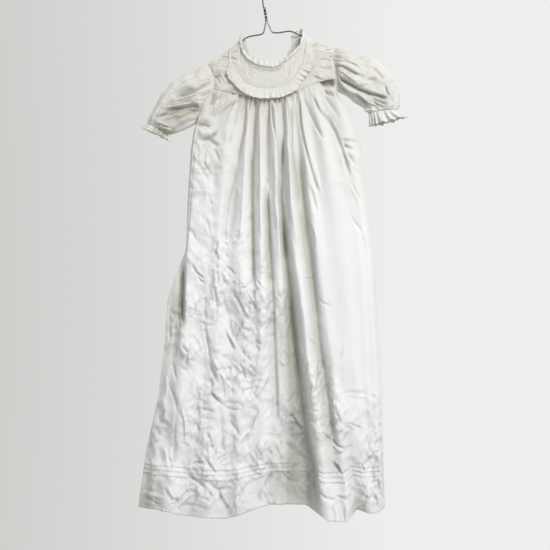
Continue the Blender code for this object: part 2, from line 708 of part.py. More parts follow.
def hanger_path():
    """Centre line of the one wire: hook, first strand, left arm, bar, right arm, second strand."""
    path = []
    middle = -HOOK_RADIUS
    turn_radius = HOOK_RADIUS + WIRE_RADIUS
    for k in range(17):
        turn = math.radians(-25 + 240 * k / 16)
        path.append((turn_radius * math.cos(turn), 0.0, middle + turn_radius * math.sin(turn)))
    path += [(x, 0.0, z) for x, z in HOOK_STEM]
    twist = []
    steps = int(TWIST_TURNS * 9)
    for k in range(steps + 1):
        share = k / steps
        turn = 2 * math.pi * TWIST_TURNS * share + math.pi
        x = blend(TWIST_TOP[0], TWIST_LOW[0], share) + TWIST_RADIUS * math.cos(turn)
        z = blend(TWIST_TOP[1], TWIST_LOW[1], share)
        twist.append((x, TWIST_RADIUS * math.sin(turn), z))
    path += twist
    path += smooth_path([(twist[-1][0] - 0.3, -0.0, -99.0)] + [(x, 0.0, z) for x, z in ARM_LEFT])
    path += smooth_path([(x, 0.0, z) for x, z in ARM_RIGHT])
    axis = [(blend(TWIST_TOP[0], TWIST_LOW[0], k / steps), blend(TWIST_TOP[1], TWIST_LOW[1], k / steps))
            for k in range(steps + 1)]
    path.append((3.4, 0.0, -99.0))
    for (ax, az), (x, y, _) in list(zip(axis, twist))[::-1]:
        path.append((2 * ax - x, -y, az))
    return path


def smooth_path(points):
    """The points with one more between each close pair, on a smooth curve."""
    path = []
    for i in range(len(points) - 1):
        path.append(points[i])
        step = math.dist(points[i], points[i + 1])
        if step > 3.0:
            path.append(tuple(spline([p[n] for p in points], i + 0.5) for n in range(3)))
    path.append(points[-1])
    return path


def main():
    for item in list(bpy.data.objects):
        bpy.data.objects.remove(item, do_unlink=True)
    tube("hanger", hanger_path(), WIRE_RADIUS, WIRE_SIDES)
    front = [(row[1], row[2], row[3], row[4], row[5]) for row in YOKE_FRONT]
    yoke("yoke_front", front, YOKE_ROWS, 1, YOKE_CROSS_TUCKS)
    yoke("yoke_back_left", YOKE_BACK_LEFT, YOKE_BACK_ROWS, -1)
    yoke("yoke_back_right", YOKE_BACK_RIGHT, YOKE_BACK_ROWS, -1)
    frill_on_neck("neck_frill")
    frill_round_yoke("yoke_frill")
    skirt_front("skirt_front")
    skirt_back("skirt_back")
    sleeve("sleeve_left", SIDE_LEFT, UNDERARM_LEFT, -ARMHOLE_GAP, SLEEVE_LEFT)
    sleeve("sleeve_right", SIDE_RIGHT, UNDERARM_RIGHT, ARMHOLE_GAP, SLEEVE_RIGHT)
    cuff_frill("cuff_frill_left", CUFF_LEFT)
    cuff_frill("cuff_frill_right", CUFF_RIGHT)


main()
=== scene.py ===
"""Long baby gown on a wire hanger: the cloth, frills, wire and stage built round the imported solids.

Tables hold millimetres in the frame of the solids: origin at the hook, +Z up, front towards -Y.
"""
import math

import bpy
import numpy as np
from bpy.props import FloatProperty, FloatVectorProperty, PointerProperty
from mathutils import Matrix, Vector


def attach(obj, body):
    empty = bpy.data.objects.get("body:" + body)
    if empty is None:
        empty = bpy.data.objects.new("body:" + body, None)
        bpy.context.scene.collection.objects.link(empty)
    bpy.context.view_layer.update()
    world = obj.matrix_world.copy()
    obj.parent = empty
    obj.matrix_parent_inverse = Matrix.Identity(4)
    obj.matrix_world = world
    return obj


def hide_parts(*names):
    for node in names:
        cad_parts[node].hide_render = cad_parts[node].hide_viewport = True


bl_info = {
    "name": "Baby gown on a wire hanger",
    "version": (1, 0, 0),
    "blender": (4, 5, 0),
    "location": "3D View > Sidebar > Gown",
    "description": "Builds a creased cotton gown with a tucked yoke and frills on a wire hanger",
    "category": "Add Mesh",
}

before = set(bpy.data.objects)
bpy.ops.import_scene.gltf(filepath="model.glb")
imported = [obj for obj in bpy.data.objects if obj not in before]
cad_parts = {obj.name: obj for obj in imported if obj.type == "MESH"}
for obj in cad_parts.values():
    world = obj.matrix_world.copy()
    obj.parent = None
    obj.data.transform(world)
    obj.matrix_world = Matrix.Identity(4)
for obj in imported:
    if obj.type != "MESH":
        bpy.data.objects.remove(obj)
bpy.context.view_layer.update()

MM = 0.001

# The photo: millimetres to a pixel, column of the hook, height of row 0, middle of the view, distance
PHOTO_PIXEL = 1.6
PHOTO_HOOK_COLUMN = 266.0
PHOTO_TOP_Z = -61.6
PHOTO_MIDDLE_X = 14.4
PHOTO_MIDDLE_Z = -501.6
PHOTO_DISTANCE = 1300.0

# Depth in front of the middle at which the creases of the body and of the sleeves were placed
BODY_DEPTH = 8.0
SLEEVE_DEPTH = 24.0

# Rows down a skirt run from 0 at the yoke to this at the hem; each stretch has its own count of rows
HEM_ROW = 5.0
FRONT_ROWS = (18, 64, 126, 46, 30, 28)
FRONT_COLUMNS = 292
BACK_ROWS = (14, 36, 70, 26, 28, 16)
BACK_COLUMNS = 70
STEPS_PER_WAVE = 9

# Tucks over the hem, gathers under the yoke
HEM_SPAN = 175.0
TUCK_LIFT = 1.2
TUCK_PITCH = 7.5
TUCK_COUNT = 3
LOWEST_TUCK = 56.0
GATHER_LIFT = 1.7
GATHER_FADE = 1.1
BACK_GATHERS = 15

# Fine tucks and openwork of the front yoke
YOKE_TUCK_LIFT = 0.8
RUNG_PITCH = 5.6
FOOT_TUCK_COUNT = 3
FOOT_TUCK_FIRST = 1.2
FOOT_TUCK_PITCH = 3.0

# Seams: how far apart the pieces are, how a skirt is tucked under, how a yoke's edges roll in
ARMHOLE_GAP = 0.7
ARMHOLE_BEYOND = 90.0
ARMHOLE_BEND_REACH = 1.5
SEAM_GAP = 0.3
TUCKED_IN = 1.6
TUCKED_UP = 4.5
YOKE_ROLL = 0.8
ARM_ROLL = 1.4

# How strongly the listed creases press each piece, and how much gentler they are in deep folds
FRONT_CREASING = 1.7
BACK_CREASING = 0.7
YOKE_CREASING = 1.5
CALM_IN_FOLDS = 0.55

# Frills, sleeves and the back opening
FRILL_WALL = 1.2
YOKE_FRILL_WAVES = 38
NECK_FRILL_STEP = 4.6
CUFF_WAVES = 14
SLEEVE_GATHERS = 13
BACK_FOLDS = 4.0
BACK_HEM_Z = -868.0
SLIT_ROW = 1.0
SLIT_HALF_WIDTH = 2.0

# Flat sizes of the sheets in metres, across and down
SKIRT_FRONT_FLAT = (0.46, 0.70)
SKIRT_BACK_HALF = (0.22, 0.68)
YOKE_FRONT_FLAT = (0.21, 0.085)
YOKE_BACK_FLAT = (0.09, 0.085)
YOKE_FRILL_FLAT = (0.56, 0.017)
NECK_FRILL_FLAT = (0.20, 0.011)
SLEEVE_FLAT = (0.20, 0.11)
CUFF_LEFT_FLAT = (0.17, 0.010)
CUFF_RIGHT_FLAT = (0.18, 0.018)

# Cut areas in square metres, where a sheet is less than its length by its width
YOKE_BACK_LEFT_AREA = 0.0058
YOKE_BACK_RIGHT_AREA = 0.0070

# Spacing of the threads, and height of each part of the weave's relief, in metres
THREAD_SPACING = 0.00045
THREAD_HEIGHT = 0.00005
SLUB_HEIGHT = 0.00004

# Stage in metres: places and sizes of the lights, middle of the view, radius of the floor
KEY_PLACE = (1.25, -2.1, 1.1)
KEY_SIZE = 1.0
BACK_PLACE = (-1.7, 2.2, 1.4)
BACK_SIZE = 1.2
LIT_MIDDLE = (0.0, 0.0, -0.5)
VIEW_X = 0.0144
VIEW_Z = -0.5016
FLOOR_RADIUS = 1.7
FLOOR_FADE = 0.8

# Shoulder ridge, carried across the neck: x, z, reach of the front, reach of the back
RIDGE = [
    (-93.0, -164.0, 9.0, 9.0),
    (-82.0, -156.5, 10.0, 9.5),
    (-70.0, -149.0, 11.0, 10.0),
    (-58.0, -139.5, 12.0, 11.0),
    (-41.5, -125.5, 14.0, 12.0),
    (-30.0, -118.0, 15.0, 12.5),
    (0.0, -112.0, 16.0, 13.0),
    (40.0, -111.0, 15.0, 12.5),
    (61.5, -118.0, 13.0, 12.0),
    (81.0, -128.0, 11.5, 11.0),
    (98.0, -132.0, 10.5, 10.0),
    (109.0, -138.0, 9.5, 9.5),
]

# Lower edge of the yoke: x, z
YOKE_LOW = [
    (-84.0, -207.0),
    (-70.0, -210.0),
    (-48.0, -214.5),
    (-25.0, -219.5),
    (5.0, -221.0),
    (29.0, -218.0),
    (50.0, -211.0),
    (64.0, -203.5),
    (80.0, -197.0),
    (97.0, -192.0),
    (112.0, -190.0),
]

# Columns of the front yoke: name, top x, top z, low x
YOKE_FRONT = [
    ("armhole_left", -93.0, -164.0, -84.0),
    ("shoulder_left", -70.0, -149.0, -70.0),
    ("neck_left", -41.5, -125.5, -49.0),
    ("neck_side_left", -39.5, -140.0, -43.0),
    ("neck_fall_left", -37.0, -152.0, -36.0),
    ("neck_turn_left", -29.0, -163.5, -28.0),
    ("panel_left", -19.0, -170.5, -19.0),
    ("front_left", -10.0, -174.0, -10.0),
    ("front_right", 12.0, -176.5, 12.0),
    ("panel_right", 21.0, -173.0, 21.0),
    ("neck_turn_right", 29.0, -165.5, 30.0),
    ("band_left", 35.0, -160.5, 36.0),
    ("band_right", 45.0, -151.5, 44.0),
    ("neck_fall_right", 53.0, -142.5, 51.0),
    ("neck_side_right", 59.5, -130.0, 57.0),
    ("neck_right", 61.5, -118.0, 64.0),
    ("slope_right", 81.0, -128.0, 80.0),
    ("armhole_right", 109.0, -138.0, 112.0),
]

# Columns of each back yoke, armhole to back opening: top x, top z, low x
YOKE_BACK_LEFT = [
    (-93.0, -164.0, -84.0),
    (-70.0, -149.0, -66.0),
    (-41.5, -125.5, -34.0),
    (-31.0, -133.0, -3.0),
]
YOKE_BACK_RIGHT = [
    (109.0, -138.0, 112.0),
    (81.0, -128.0, 76.0),
    (61.5, -118.0, 44.0),
    (42.0, -126.0, 4.0),
]

# Frill round the yoke: seam x, seam z, edge x, edge z, side (-1 back, 0 ridge, 1 front)
YOKE_FRILL = [
    (-9.0, -203.0, -7.5, -220.0, -1),
    (-22.0, -199.0, -28.0, -214.0, -1),
    (-41.0, -185.0, -54.0, -195.0, -1),
    (-53.0, -161.0, -68.0, -172.0, -1),
    (-54.0, -136.0, -70.0, -149.0, 0),
    (-55.0, -157.0, -69.0, -168.0, 1),
    (-48.0, -173.0, -62.0, -187.0, 1),
    (-42.0, -184.0, -52.0, -199.0, 1),
    (-33.0, -196.0, -40.0, -211.0, 1),
    (-22.0, -203.0, -27.0, -219.0, 1),
    (-8.0, -206.5, -11.0, -223.0, 1),
    (5.0, -207.0, 5.0, -223.0, 1),
    (18.0, -205.5, 21.0, -221.5, 1),
    (30.0, -201.0, 37.0, -216.0, 1),
    (40.0, -194.0, 52.0, -206.0, 1),
    (48.0, -184.0, 62.0, -192.0, 1),
    (54.0, -171.0, 71.0, -178.0, 1),
    (60.0, -158.0, 77.0, -164.0, 1),
    (67.0, -121.0, 86.0, -129.5, 0),
    (63.0, -152.0, 80.0, -160.0, -1),
    (51.0, -178.0, 65.0, -190.0, -1),
    (30.0, -195.0, 38.0, -210.0, -1),
    (9.0, -203.0, 10.0, -219.0, -1),
]

# Frill standing on the neck edge: x, z, side, height, lean in x, lean forward
NECK_FRILL = [
    (-31.5, -132.6, -1, 9.0, -0.1, -0.35),
    (-37.0, -129.0, -1, 9.0, -0.2, -0.3),
    (-41.5, -125.5, 0, 8.0, -0.35, 0.0),
    (-39.5, -140.0, 1, 9.0, -0.3, 0.2),
    (-37.0, -152.0, 1, 9.0, -0.25, 0.35),
    (-29.0, -163.5, 1, 10.0, -0.1, 0.4),
    (-19.0, -170.5, 1, 10.0, 0.0, 0.4),
    (-10.0, -174.0, 1, 11.0, 0.0, 0.4),
    (12.0, -176.5, 1, 10.0, 0.0, 0.4),
    (21.0, -173.0, 1, 9.0, 0.05, 0.4),
    (29.0, -165.5, 1, 6.0, 0.1, 0.6),
    (35.0, -160.5, 1, 5.0, 0.1, 0.7),
    (45.0, -151.5, 1, 5.0, 0.1, 0.7),
    (53.0, -142.5, 1, 6.0, 0.1, 0.5),
    (59.5, -130.0, 1, 9.0, 0.0, 0.25),
    (61.5, -118.0, 0, 11.0, -0.1, 0.0),
    (52.0, -121.5, -1, 11.0, -0.1, -0.25),
    (42.5, -125.6, -1, 10.0, -0.1, -0.3),
]
NECK_MIDDLE = (8.0, -125.0)

# Sides of the gown below the shoulders: z, x, depth in front
SIDE_LEFT = [
    (-164.0, -93.0, 0.0),
    (-177.0, -88.0, 5.0),
    (-194.0, -82.0, 8.0),
    (-207.0, -84.0, 9.0),
    (-226.0, -98.0, 7.0),
    (-244.0, -106.0, 4.0),
    (-257.0, -110.0, 2.2),
    (-270.0, -115.0, 2.2),
    (-302.0, -120.0, 2.2),
    (-382.0, -125.0, 2.2),
    (-462.0, -128.0, 2.2),
    (-502.0, -144.0, 2.2),
    (-542.0, -157.0, 2.2),
    (-621.0, -163.0, 2.2),
    (-701.0, -173.0, 2.2),
    (-781.0, -191.0, 2.2),
    (-900.0, -208.0, 2.2),
]
SIDE_RIGHT = [
    (-138.0, 109.0, 0.0),
    (-158.0, 107.0, 6.0),
    (-176.0, 112.0, 8.5),
    (-190.0, 112.0, 9.5),
    (-209.0, 113.5, 3.0),
    (-218.0, 117.0, 2.2),
    (-233.0, 130.0, 2.2),
    (-254.0, 140.0, 2.2),
    (-286.0, 150.0, 2.2),
    (-326.0, 155.0, 2.2),
    (-382.0, 161.0, 2.2),
    (-430.0, 166.0, 2.2),
    (-481.0, 174.0, 2.2),
    (-542.0, 176.0, 2.2),
    (-621.0, 182.0, 2.2),
    (-701.0, 185.0, 2.2),
    (-781.0, 187.0, 2.2),
    (-900.0, 191.0, 2.2),
]
UNDERARM_LEFT = -257.0
UNDERARM_RIGHT = -206.0

# Heights the fold tables are read at, between the yoke edge and the hem
STATIONS = (-262.0, -438.0, -542.0, -702.0)

# Folds of the front skirt: name, x at yoke edge, stations and hem, depth at the same, hem z, parts
FRONT_FOLDS = [
    ("side_left", (-84, -113, -126, -157, -173, -204), (8, 2, 2, 2, 2, 2), -872, 2),
    ("groove_left", (-77, -110, -125, -139, -159, -181), (8, 6, 8.5, 3.5, 8, 10), -873, 2),
    ("edge_left", (-70, -103, -121, -127, -134, -154), (9, 8, 13, 18, 20, 22), -874, 3),
    ("valley_a", (-59, -79, -89, -93, -104, -127), (9, 9, 10, 12, 13, 13), -883, 2),
    ("ridge_b", (-46, -60, -74, -77, -82, -94), (11, 13, 15, 16, 19, 24), -883, 3),
    ("valley_c", (-30, -38, -60, -58, -57, -63), (11, 7, 8, 12, 14, 19), -886, 2),
    ("ridge_d", (-22, -29, -41, -39, -41, -44), (13, 14, 16, 17, 18, 26), -879, 3),
    ("valley_e", (-13, -19, -21, -20, -24, -25), (12, 6, 8, 13, 15, 22), -873, 2),
    ("ridge_f", (-5, -9, -7, -6, -6, -9), (14, 14, 18, 19, 18, 22), -867, 3),
    ("valley_g", (4, 2, 7, 11, 10, 6), (13, 6, 8, 9, 11, 14), -865, 2),
    ("ridge_h", (14, 14, 21, 27, 33, 32), (14, 14, 17, 18, 14, 9), -865, 3),
    ("valley_i", (25, 25, 30, 40, 55, 62), (12, 5, 5, 3, 3, 3), -867, 2),
    ("ridge_j", (33, 36, 43, 57, 77, 98), (13, 14, 19, 24, 28, 36), -884, 2),
    ("valley_k", (43, 48, 64, 79, 98, 118), (12, 6, 8, 11, 16, 30), -887, 2),
    ("ridge_l", (52, 59, 79, 93, 112, 127), (12, 14, 18, 18, 24, 30), -887, 2),
    ("valley_m", (62, 72, 94, 109, 125, 144), (11, 7, 15, 17, 20, 14), -873, 3),
    ("ridge_n", (73, 86, 114, 126, 142, 164), (11, 13, 17, 18, 19, 22), -877, 3),
    ("valley_o", (86, 102, 142, 150, 160, 177), (9, 6, 14, 15, 14, 15), -877, 2),
    ("ridge_p", (100, 122, 155, 166, 173, 182), (9, 9, 12, 12, 12, 13), -874, 3),
    ("side_right", (112, 143, 167, 176, 185, 190), (8, 2, 2, 2, 2, 2), -872, 0),
]

# Back skirt at the yoke edge, the stations and the hem: depth, and rise of its folds
BACK_DEPTH = (12.0, 15.0, 17.0, 18.0, 19.0, 20.0)
BACK_FOLD_LIFT = (0.0, 3.0, 4.0, 4.5, 5.0, 5.5)

# Sleeve rings after the armhole: top x, top z, low x, low z, depth, gather, bow towards the body
SLEEVE_LEFT = [
    (-104.0, -168.5, -113.0, -259.0, 14.0, 2.0, 11.0),
    (-118.0, -176.0, -118.0, -261.5, 18.0, 2.4, 6.0),
    (-134.0, -184.0, -124.0, -264.0, 21.0, 2.0, 2.0),
    (-150.0, -193.0, -130.0, -267.0, 22.0, 1.5, -2.0),
    (-162.0, -207.0, -136.0, -270.0, 21.0, 1.2, -4.0),
    (-174.0, -226.0, -143.0, -273.0, 19.0, 1.4, -5.0),
    (-184.0, -243.0, -149.0, -275.0, 16.0, 1.8, -4.0),
    (-188.0, -254.0, -153.0, -276.5, 12.0, 1.5, -1.0),
    (-189.0, -259.0, -156.0, -278.0, 10.0, 0.8, 0.0),
]
SLEEVE_RIGHT = [
    (119.0, -138.5, 119.0, -210.0, 14.0, 2.0, -4.0),
    (133.0, -142.0, 126.5, -213.0, 18.0, 2.4, -2.0),
    (150.0, -149.0, 134.0, -218.5, 21.0, 2.0, 0.0),
    (172.0, -154.0, 141.0, -225.0, 22.0, 1.5, 3.0),
    (191.0, -168.0, 149.0, -230.0, 21.0, 1.2, 5.0),
    (204.0, -190.0, 156.0, -234.0, 19.0, 1.4, 5.0),
    (211.0, -213.0, 159.0, -237.0, 16.0, 1.8, 3.0),
    (213.0, -229.0, 162.0, -240.0, 13.0, 1.5, 1.0),
    (211.0, -237.0, 164.0, -243.0, 11.0, 0.8, 0.0),
]

# Cuff frills: top x, top z, low x, low z, depth, wave
CUFF_LEFT = [
    (-189.2, -259.3, -156.2, -278.3, 10.0, 0.4),
    (-194.0, -263.5, -154.5, -283.0, 12.5, 1.8),
    (-199.0, -267.0, -152.5, -287.0, 15.0, 3.0),
]
CUFF_RIGHT = [
    (211.0, -237.35, 164.05, -243.35, 11.0, 0.4),
    (217.0, -244.0, 166.0, -254.0, 13.5, 1.8),
    (224.0, -250.0, 168.0, -264.0, 16.0, 3.0),
]

# Creases placed on the photo: half width and rise in millimetres, steeper side (+1 right of
# the way down), then spots of the photo, column and row in pixels
SKIRT_CREASES = [
    (4, -4, 0.4, (283, 135), (282, 170), (281, 200), (284, 235), (287, 262)),
    (6, -6, 0.5, (283, 215), (287, 260), (290.5, 290), (293, 324), (297, 359), (300, 385)),
    (9, -8, 0.6, (290, 285), (293, 324), (297, 359), (301, 393), (305, 428), (311, 462), (315, 490),
     (318, 520)),
    (7, -6, 0.5, (300, 150), (303, 190), (307, 220), (311, 250), (314, 280), (316, 310), (319, 340),
     (324, 370), (328, 400), (332, 430), (335, 450)),
    (5, -4, 0.5, (267, 190), (269, 230), (271, 260), (273, 300), (274, 340), (276, 380), (277, 420)),
    (4, -3, 0.4, (252, 150), (252, 200), (253, 250), (254, 285)),
    (6, -9, 0.2, (183, 262), (182, 290), (182, 315), (185, 332)),
    (2.6, -2.6, -0.4, (246, 102), (243, 130), (239, 150), (236, 165)),
    (4.5, -2.4, 0.4, (236, 162), (233, 180), (229, 197), (226, 220), (224, 250)),
    (2.4, -3.4, -0.4, (256, 98), (254, 130), (252.5, 150), (251, 170), (251, 200), (252, 230),
     (253, 262), (253.5, 289)),
    (4.0, -2.6, 0.4, (253.5, 286), (254, 300), (257, 318)),
    (2.2, -3.2, -0.4, (269, 104), (267.5, 130), (267, 160), (267.5, 190)),
    (3.6, -3.2, 0.4, (267.5, 186), (268, 205), (269, 230), (269.5, 262), (271, 290)),
    (2.2, -2.8, -0.4, (271, 102), (273, 125), (277, 145), (279, 160), (280, 180)),
    (4.5, -3.4, 0.4, (280, 176), (281, 200), (284, 220), (287, 240), (289, 262)),
    (2.0, -2.6, -0.4, (281, 98), (283, 115), (284, 130), (283, 150), (283, 168)),
    (3.6, -3.2, 0.4, (291, 104), (291.5, 130), (292, 150), (295, 170), (298, 190), (300, 210)),
    (4.2, -2.6, -0.4, (300, 206), (303, 230), (306, 252), (310, 275), (313, 300), (316, 322)),
    (2.2, -2.8, 0.4, (299, 98), (301, 125), (305, 145), (309, 160), (313, 175), (317, 188), (320, 193)),
    (2.0, -2.2, -0.4, (287, 100), (288, 112), (290, 128)),
    (1.8, -2.0, 0.4, (276, 99), (277, 108), (278, 118)),
    (1.8, -2.0, -0.4, (262, 99), (261, 110), (261, 122)),
    (1.8, -1.6, 0.4, (250, 101), (249, 112)),
    (1.8, -1.6, -0.4, (240, 103), (236, 116), (232, 130)),
    (1.8, -1.6, 0.4, (235, 100), (230, 112), (224, 122)),
    (2.0, -1.8, -0.4, (228, 98), (222, 106), (214, 113)),
    (3.0, -2.2, 0.4, (309, 184), (314, 198), (317, 214)),
    (2.2, -2.4, -0.4, (303, 97), (310, 115), (315, 125), (323, 141)),
    (2.8, -3.0, 0.4, (312, 95), (320, 112), (330, 122), (336, 132), (341, 145), (346, 160), (350, 178)),
    (2.0, -1.6, -0.4, (322, 92), (332, 108), (340, 118)),
    (3.0, 1.6, 0.4, (303, 128), (309, 150), (316, 172), (321, 196)),
    (2.6, 1.4, -0.4, (260, 130), (260, 160), (260, 200), (261, 240)),
    (2.6, 1.4, 0.4, (275, 150), (276, 190), (279, 230), (281, 262)),
    (2.6, 1.2, -0.4, (245, 150), (243, 190), (240, 240)),
    (3.2, 2.8, 0.4, (288, 140), (290, 175), (291, 205), (296, 230), (299, 250)),
    (1.6, -1.6, -0.4, (304, 214), (310, 225), (314, 238), (314, 250)),
    (1.5, 1.2, 0.4, (307, 214), (314, 228), (317, 242)),
    (1.5, 1.2, -0.4, (301, 212), (309, 236), (312, 252)),
    (2.4, -3.6, -0.4, (199, 141.5), (206, 140.5), (211, 138), (215.5, 133.5), (217, 130)),
    (6, 3.0, 0, (198, 133), (205, 133.5), (211, 131)),
    (3.5, -2.6, 0, (195, 126), (203, 125.5), (211, 127.5)),
    (2.4, -3.0, -0.4, (205, 139), (213, 144), (221, 148)),
    (3.5, -2.0, 0.4, (192, 157), (199, 166), (205, 174), (210, 182)),
    (2.5, -1.8, -0.4, (201, 160), (206, 169), (211, 177)),
    (2.0, -1.8, 0.4, (215, 150), (218, 157), (220, 162)),
    (1.6, -1.4, -0.4, (212, 168), (222, 170)),
    (1.8, -1.4, 0.4, (209, 200), (213, 206)),
    (1.6, -1.6, -0.4, (198, 210), (204, 218), (208, 224), (210, 235)),
    (1.6, 1.4, 0.4, (203, 146), (211, 144), (218, 138)),
    (2.4, -1.4, -0.4, (190, 200), (196, 197)),
    (2.2, -1.6, 0.4, (186, 228), (193, 232), (196, 240)),
    (2.4, -1.6, -0.4, (214, 258), (217, 248), (219, 240)),
    (2.6, -1.6, 0.4, (216, 250), (219, 262)),
    (2.0, -1.5, -0.4, (217, 266), (219, 290)),
    (1.8, 1.4, 0.4, (217, 265), (224, 265)),
    (1.8, -2.8, -0.4, (341, 142), (350, 141), (359, 142)),
    (2.0, -3.0, 0.4, (342, 143), (349, 148), (356, 150)),
    (1.6, 1.8, -0.4, (344, 147), (350, 143)),
    (2.0, -2.4, 0.4, (345, 153), (351, 158), (356, 165)),
    (1.6, 1.6, -0.4, (348, 152), (355, 156), (358, 162)),
    (2.0, 1.6, 0.4, (341, 148), (347, 156), (352, 165)),
    (2.4, 1.2, -0.4, (350, 186), (354, 194), (360, 205)),
    (2.0, -1.6, 0.4, (352, 184), (357, 195), (362, 203)),
    (2.0, -1.4, -0.4, (350, 217), (356, 225), (362, 233)),
    (2.4, 1.4, 0.4, (363, 228), (368, 244), (374, 262)),
    (1.8, -1.4, -0.4, (366, 236), (370, 250), (375, 264)),
    (1.6, -1.2, 0.4, (352, 168), (360, 174), (366, 184)),
    (1.6, -1.0, -0.4, (374, 262), (374, 272)),
    (1.8, -2.0, 0.4, (198, 276), (201, 281), (206, 283)),
    (2.6, -2.8, -0.4, (221, 273), (223, 280), (226, 286)),
    (1.8, -2.0, 0.4, (226, 266), (232, 270), (236, 275)),
    (1.6, -1.6, -0.4, (232, 281), (236, 286)),
    (1.8, -1.6, 0.4, (239, 287.5), (249, 287.5)),
    (1.8, 1.8, -0.4, (246, 289), (251, 296), (255, 306)),
    (2.0, 1.8, 0.4, (256, 290), (262, 284)),
    (2.2, -2.4, -0.4, (222, 288), (223, 300), (226, 310), (230, 319)),
    (2.2, -2.2, 0.4, (230, 318), (231, 326), (232, 334)),
    (3.0, -1.8, -0.4, (214, 285), (216, 300), (217, 320)),
    (3.0, -1.6, 0.4, (206, 295), (205, 310), (206, 322)),
    (1.4, 1.6, -0.4, (187, 305), (196, 310)),
    (1.4, 1.6, 0.4, (188, 310), (200, 314)),
    (1.4, 1.4, -0.4, (188, 313), (198, 319)),
    (1.8, -1.8, 0.4, (200, 322), (207, 324), (215, 324)),
    (2.4, -2.8, -0.4, (203, 324), (206, 335), (208, 347), (210, 362)),
    (2.8, -3.0, 0.4, (209, 360), (213, 370), (219, 382)),
    (1.6, 1.8, -0.4, (212, 358), (218, 367), (225, 380)),
    (1.6, 1.8, 0.4, (207, 334), (214, 340)),
    (2.0, -2.2, -0.4, (223, 328), (229, 338), (236, 352)),
    (1.8, 2.0, 0.4, (226, 329), (232, 338), (238, 350)),
    (1.5, 2.0, -0.4, (212, 348), (225, 348)),
    (1.8, -1.6, 0.4, (212, 352), (220, 353)),
    (2.2, -3.0, -0.4, (182, 344), (184, 349), (189, 353)),
    (1.8, -1.8, 0.4, (186, 357), (192, 352)),
    (2.0, 1.4, -0.4, (193, 345), (197, 352), (202, 359)),
    (2.0, -2.6, 0.4, (169, 309), (169.5, 328), (170, 346)),
    (1.6, 1.8, -0.4, (167, 310), (167, 330), (167.5, 345)),
    (2.2, -2.6, 0.4, (173, 363), (175, 370), (177, 380)),
    (1.8, -1.8, -0.4, (180, 366), (190, 372)),
    (2.0, -1.4, 0.4, (240, 364), (245, 369), (252, 371)),
    (1.8, -1.8, -0.4, (254, 340), (262, 345)),
    (2.2, -2.2, 0.4, (255, 324), (258, 331)),
    (1.6, -1.4, -0.4, (236, 330), (255, 331)),
    (1.4, 1.4, 0.4, (238, 333), (256, 333)),
    (1.4, 1.4, -0.4, (258, 278), (263, 286), (267, 291)),
    (1.4, 1.4, 0.4, (255, 282), (260, 289)),
    (1.4, -1.4, -0.4, (256, 270), (266, 268)),
    (1.6, -1.6, 0.4, (268, 338), (276, 333)),
    (2.6, -3.2, -0.4, (168, 383), (172, 392), (176, 401), (177, 412)),
    (2.4, 2.0, 0.4, (166, 374), (167, 386), (166, 396)),
    (3.0, -1.6, -0.4, (177, 412), (175, 430), (174, 446), (173, 462)),
    (3.5, -1.8, 0.4, (196, 380), (198, 395), (198, 415), (199, 442)),
    (2.6, -3.4, -0.4, (208, 386), (214, 395), (220, 402), (226, 407)),
    (2.0, 2.2, 0.4, (211, 388), (217, 394), (223, 398)),
    (3.0, -2.0, -0.4, (219, 403), (221, 420), (222, 452)),
    (2.4, -1.8, 0.4, (221, 370), (224, 385), (225, 400)),
    (1.6, -2.0, -0.4, (200, 408), (208, 410), (217, 411)),
    (1.4, -1.4, 0.4, (201, 418), (216, 417)),
    (1.4, -1.4, -0.4, (202, 429), (216, 429)),
    (1.4, 1.4, 0.4, (202, 424), (216, 423)),
    (1.8, -1.8, -0.4, (225, 403), (238, 403)),
    (1.8, -2.0, 0.4, (226, 407), (239, 409)),
    (1.6, 1.6, -0.4, (226, 405), (238, 406)),
    (2.0, 1.8, 0.4, (242, 388), (250, 386), (259, 382)),
    (2.2, 1.6, -0.4, (223, 378), (231, 386), (240, 393)),
    (3.0, -3.0, 0.4, (256, 414), (252, 424), (249, 432)),
    (3.2, -3.2, -0.4, (249, 431), (245, 438), (240, 444)),
    (2.4, 2.2, 0.4, (246, 420), (242, 430), (236, 440)),
    (2.2, -3.4, -0.4, (153, 427), (157, 432), (160, 438)),
    (1.8, 2.4, 0.4, (151, 430), (155, 435), (158, 441)),
    (2.4, -2.6, -0.4, (148, 450), (153, 445), (160, 440)),
    (2.0, -2.2, 0.4, (159, 443), (161, 453), (163, 464)),
    (1.8, 2.2, -0.4, (163, 443), (166, 454), (167, 463)),
    (1.8, -1.8, 0.4, (170, 455), (173, 468)),
    (1.6, -1.8, -0.4, (181, 442), (187, 444), (192, 447)),
    (2.0, -3.0, 0.4, (191, 463), (198, 461), (205, 460)),
    (1.8, -3.2, -0.4, (204, 456), (210, 463), (217, 473)),
    (1.8, -2.2, 0.4, (215, 460), (224, 455), (235, 451)),
    (1.8, 2.0, -0.4, (221, 460), (230, 454), (237, 453)),
    (1.6, -1.6, 0.4, (222, 465), (232, 462)),
    (2.0, 1.8, -0.4, (238, 462), (246, 454), (252, 444)),
    (2.6, 3.0, 0.4, (270, 440), (264, 450), (257, 460)),
    (2.6, -3.2, -0.4, (268, 439), (262, 450), (256, 461)),
    (2.2, -2.4, 0.4, (273, 441), (278, 450), (282, 462)),
    (2.4, 3.0, -0.4, (288, 437), (298, 449), (309, 459)),
    (2.6, -3.4, 0.4, (285, 440), (296, 453), (307, 461)),
    (1.6, 1.8, -0.4, (291, 462), (302, 463)),
    (1.6, -2.0, 0.4, (285, 466), (305, 465)),
    (1.8, -2.2, -0.4, (300, 480), (308, 475)),
    (2.0, 2.4, 0.4, (283, 470), (292, 478), (300, 480)),
    (2.4, -2.6, -0.4, (291, 482), (300, 481)),
    (2.6, -2.4, 0.4, (291, 484), (295, 492), (299, 501)),
    (2.0, 2.0, -0.4, (296, 482), (304, 492), (308, 500)),
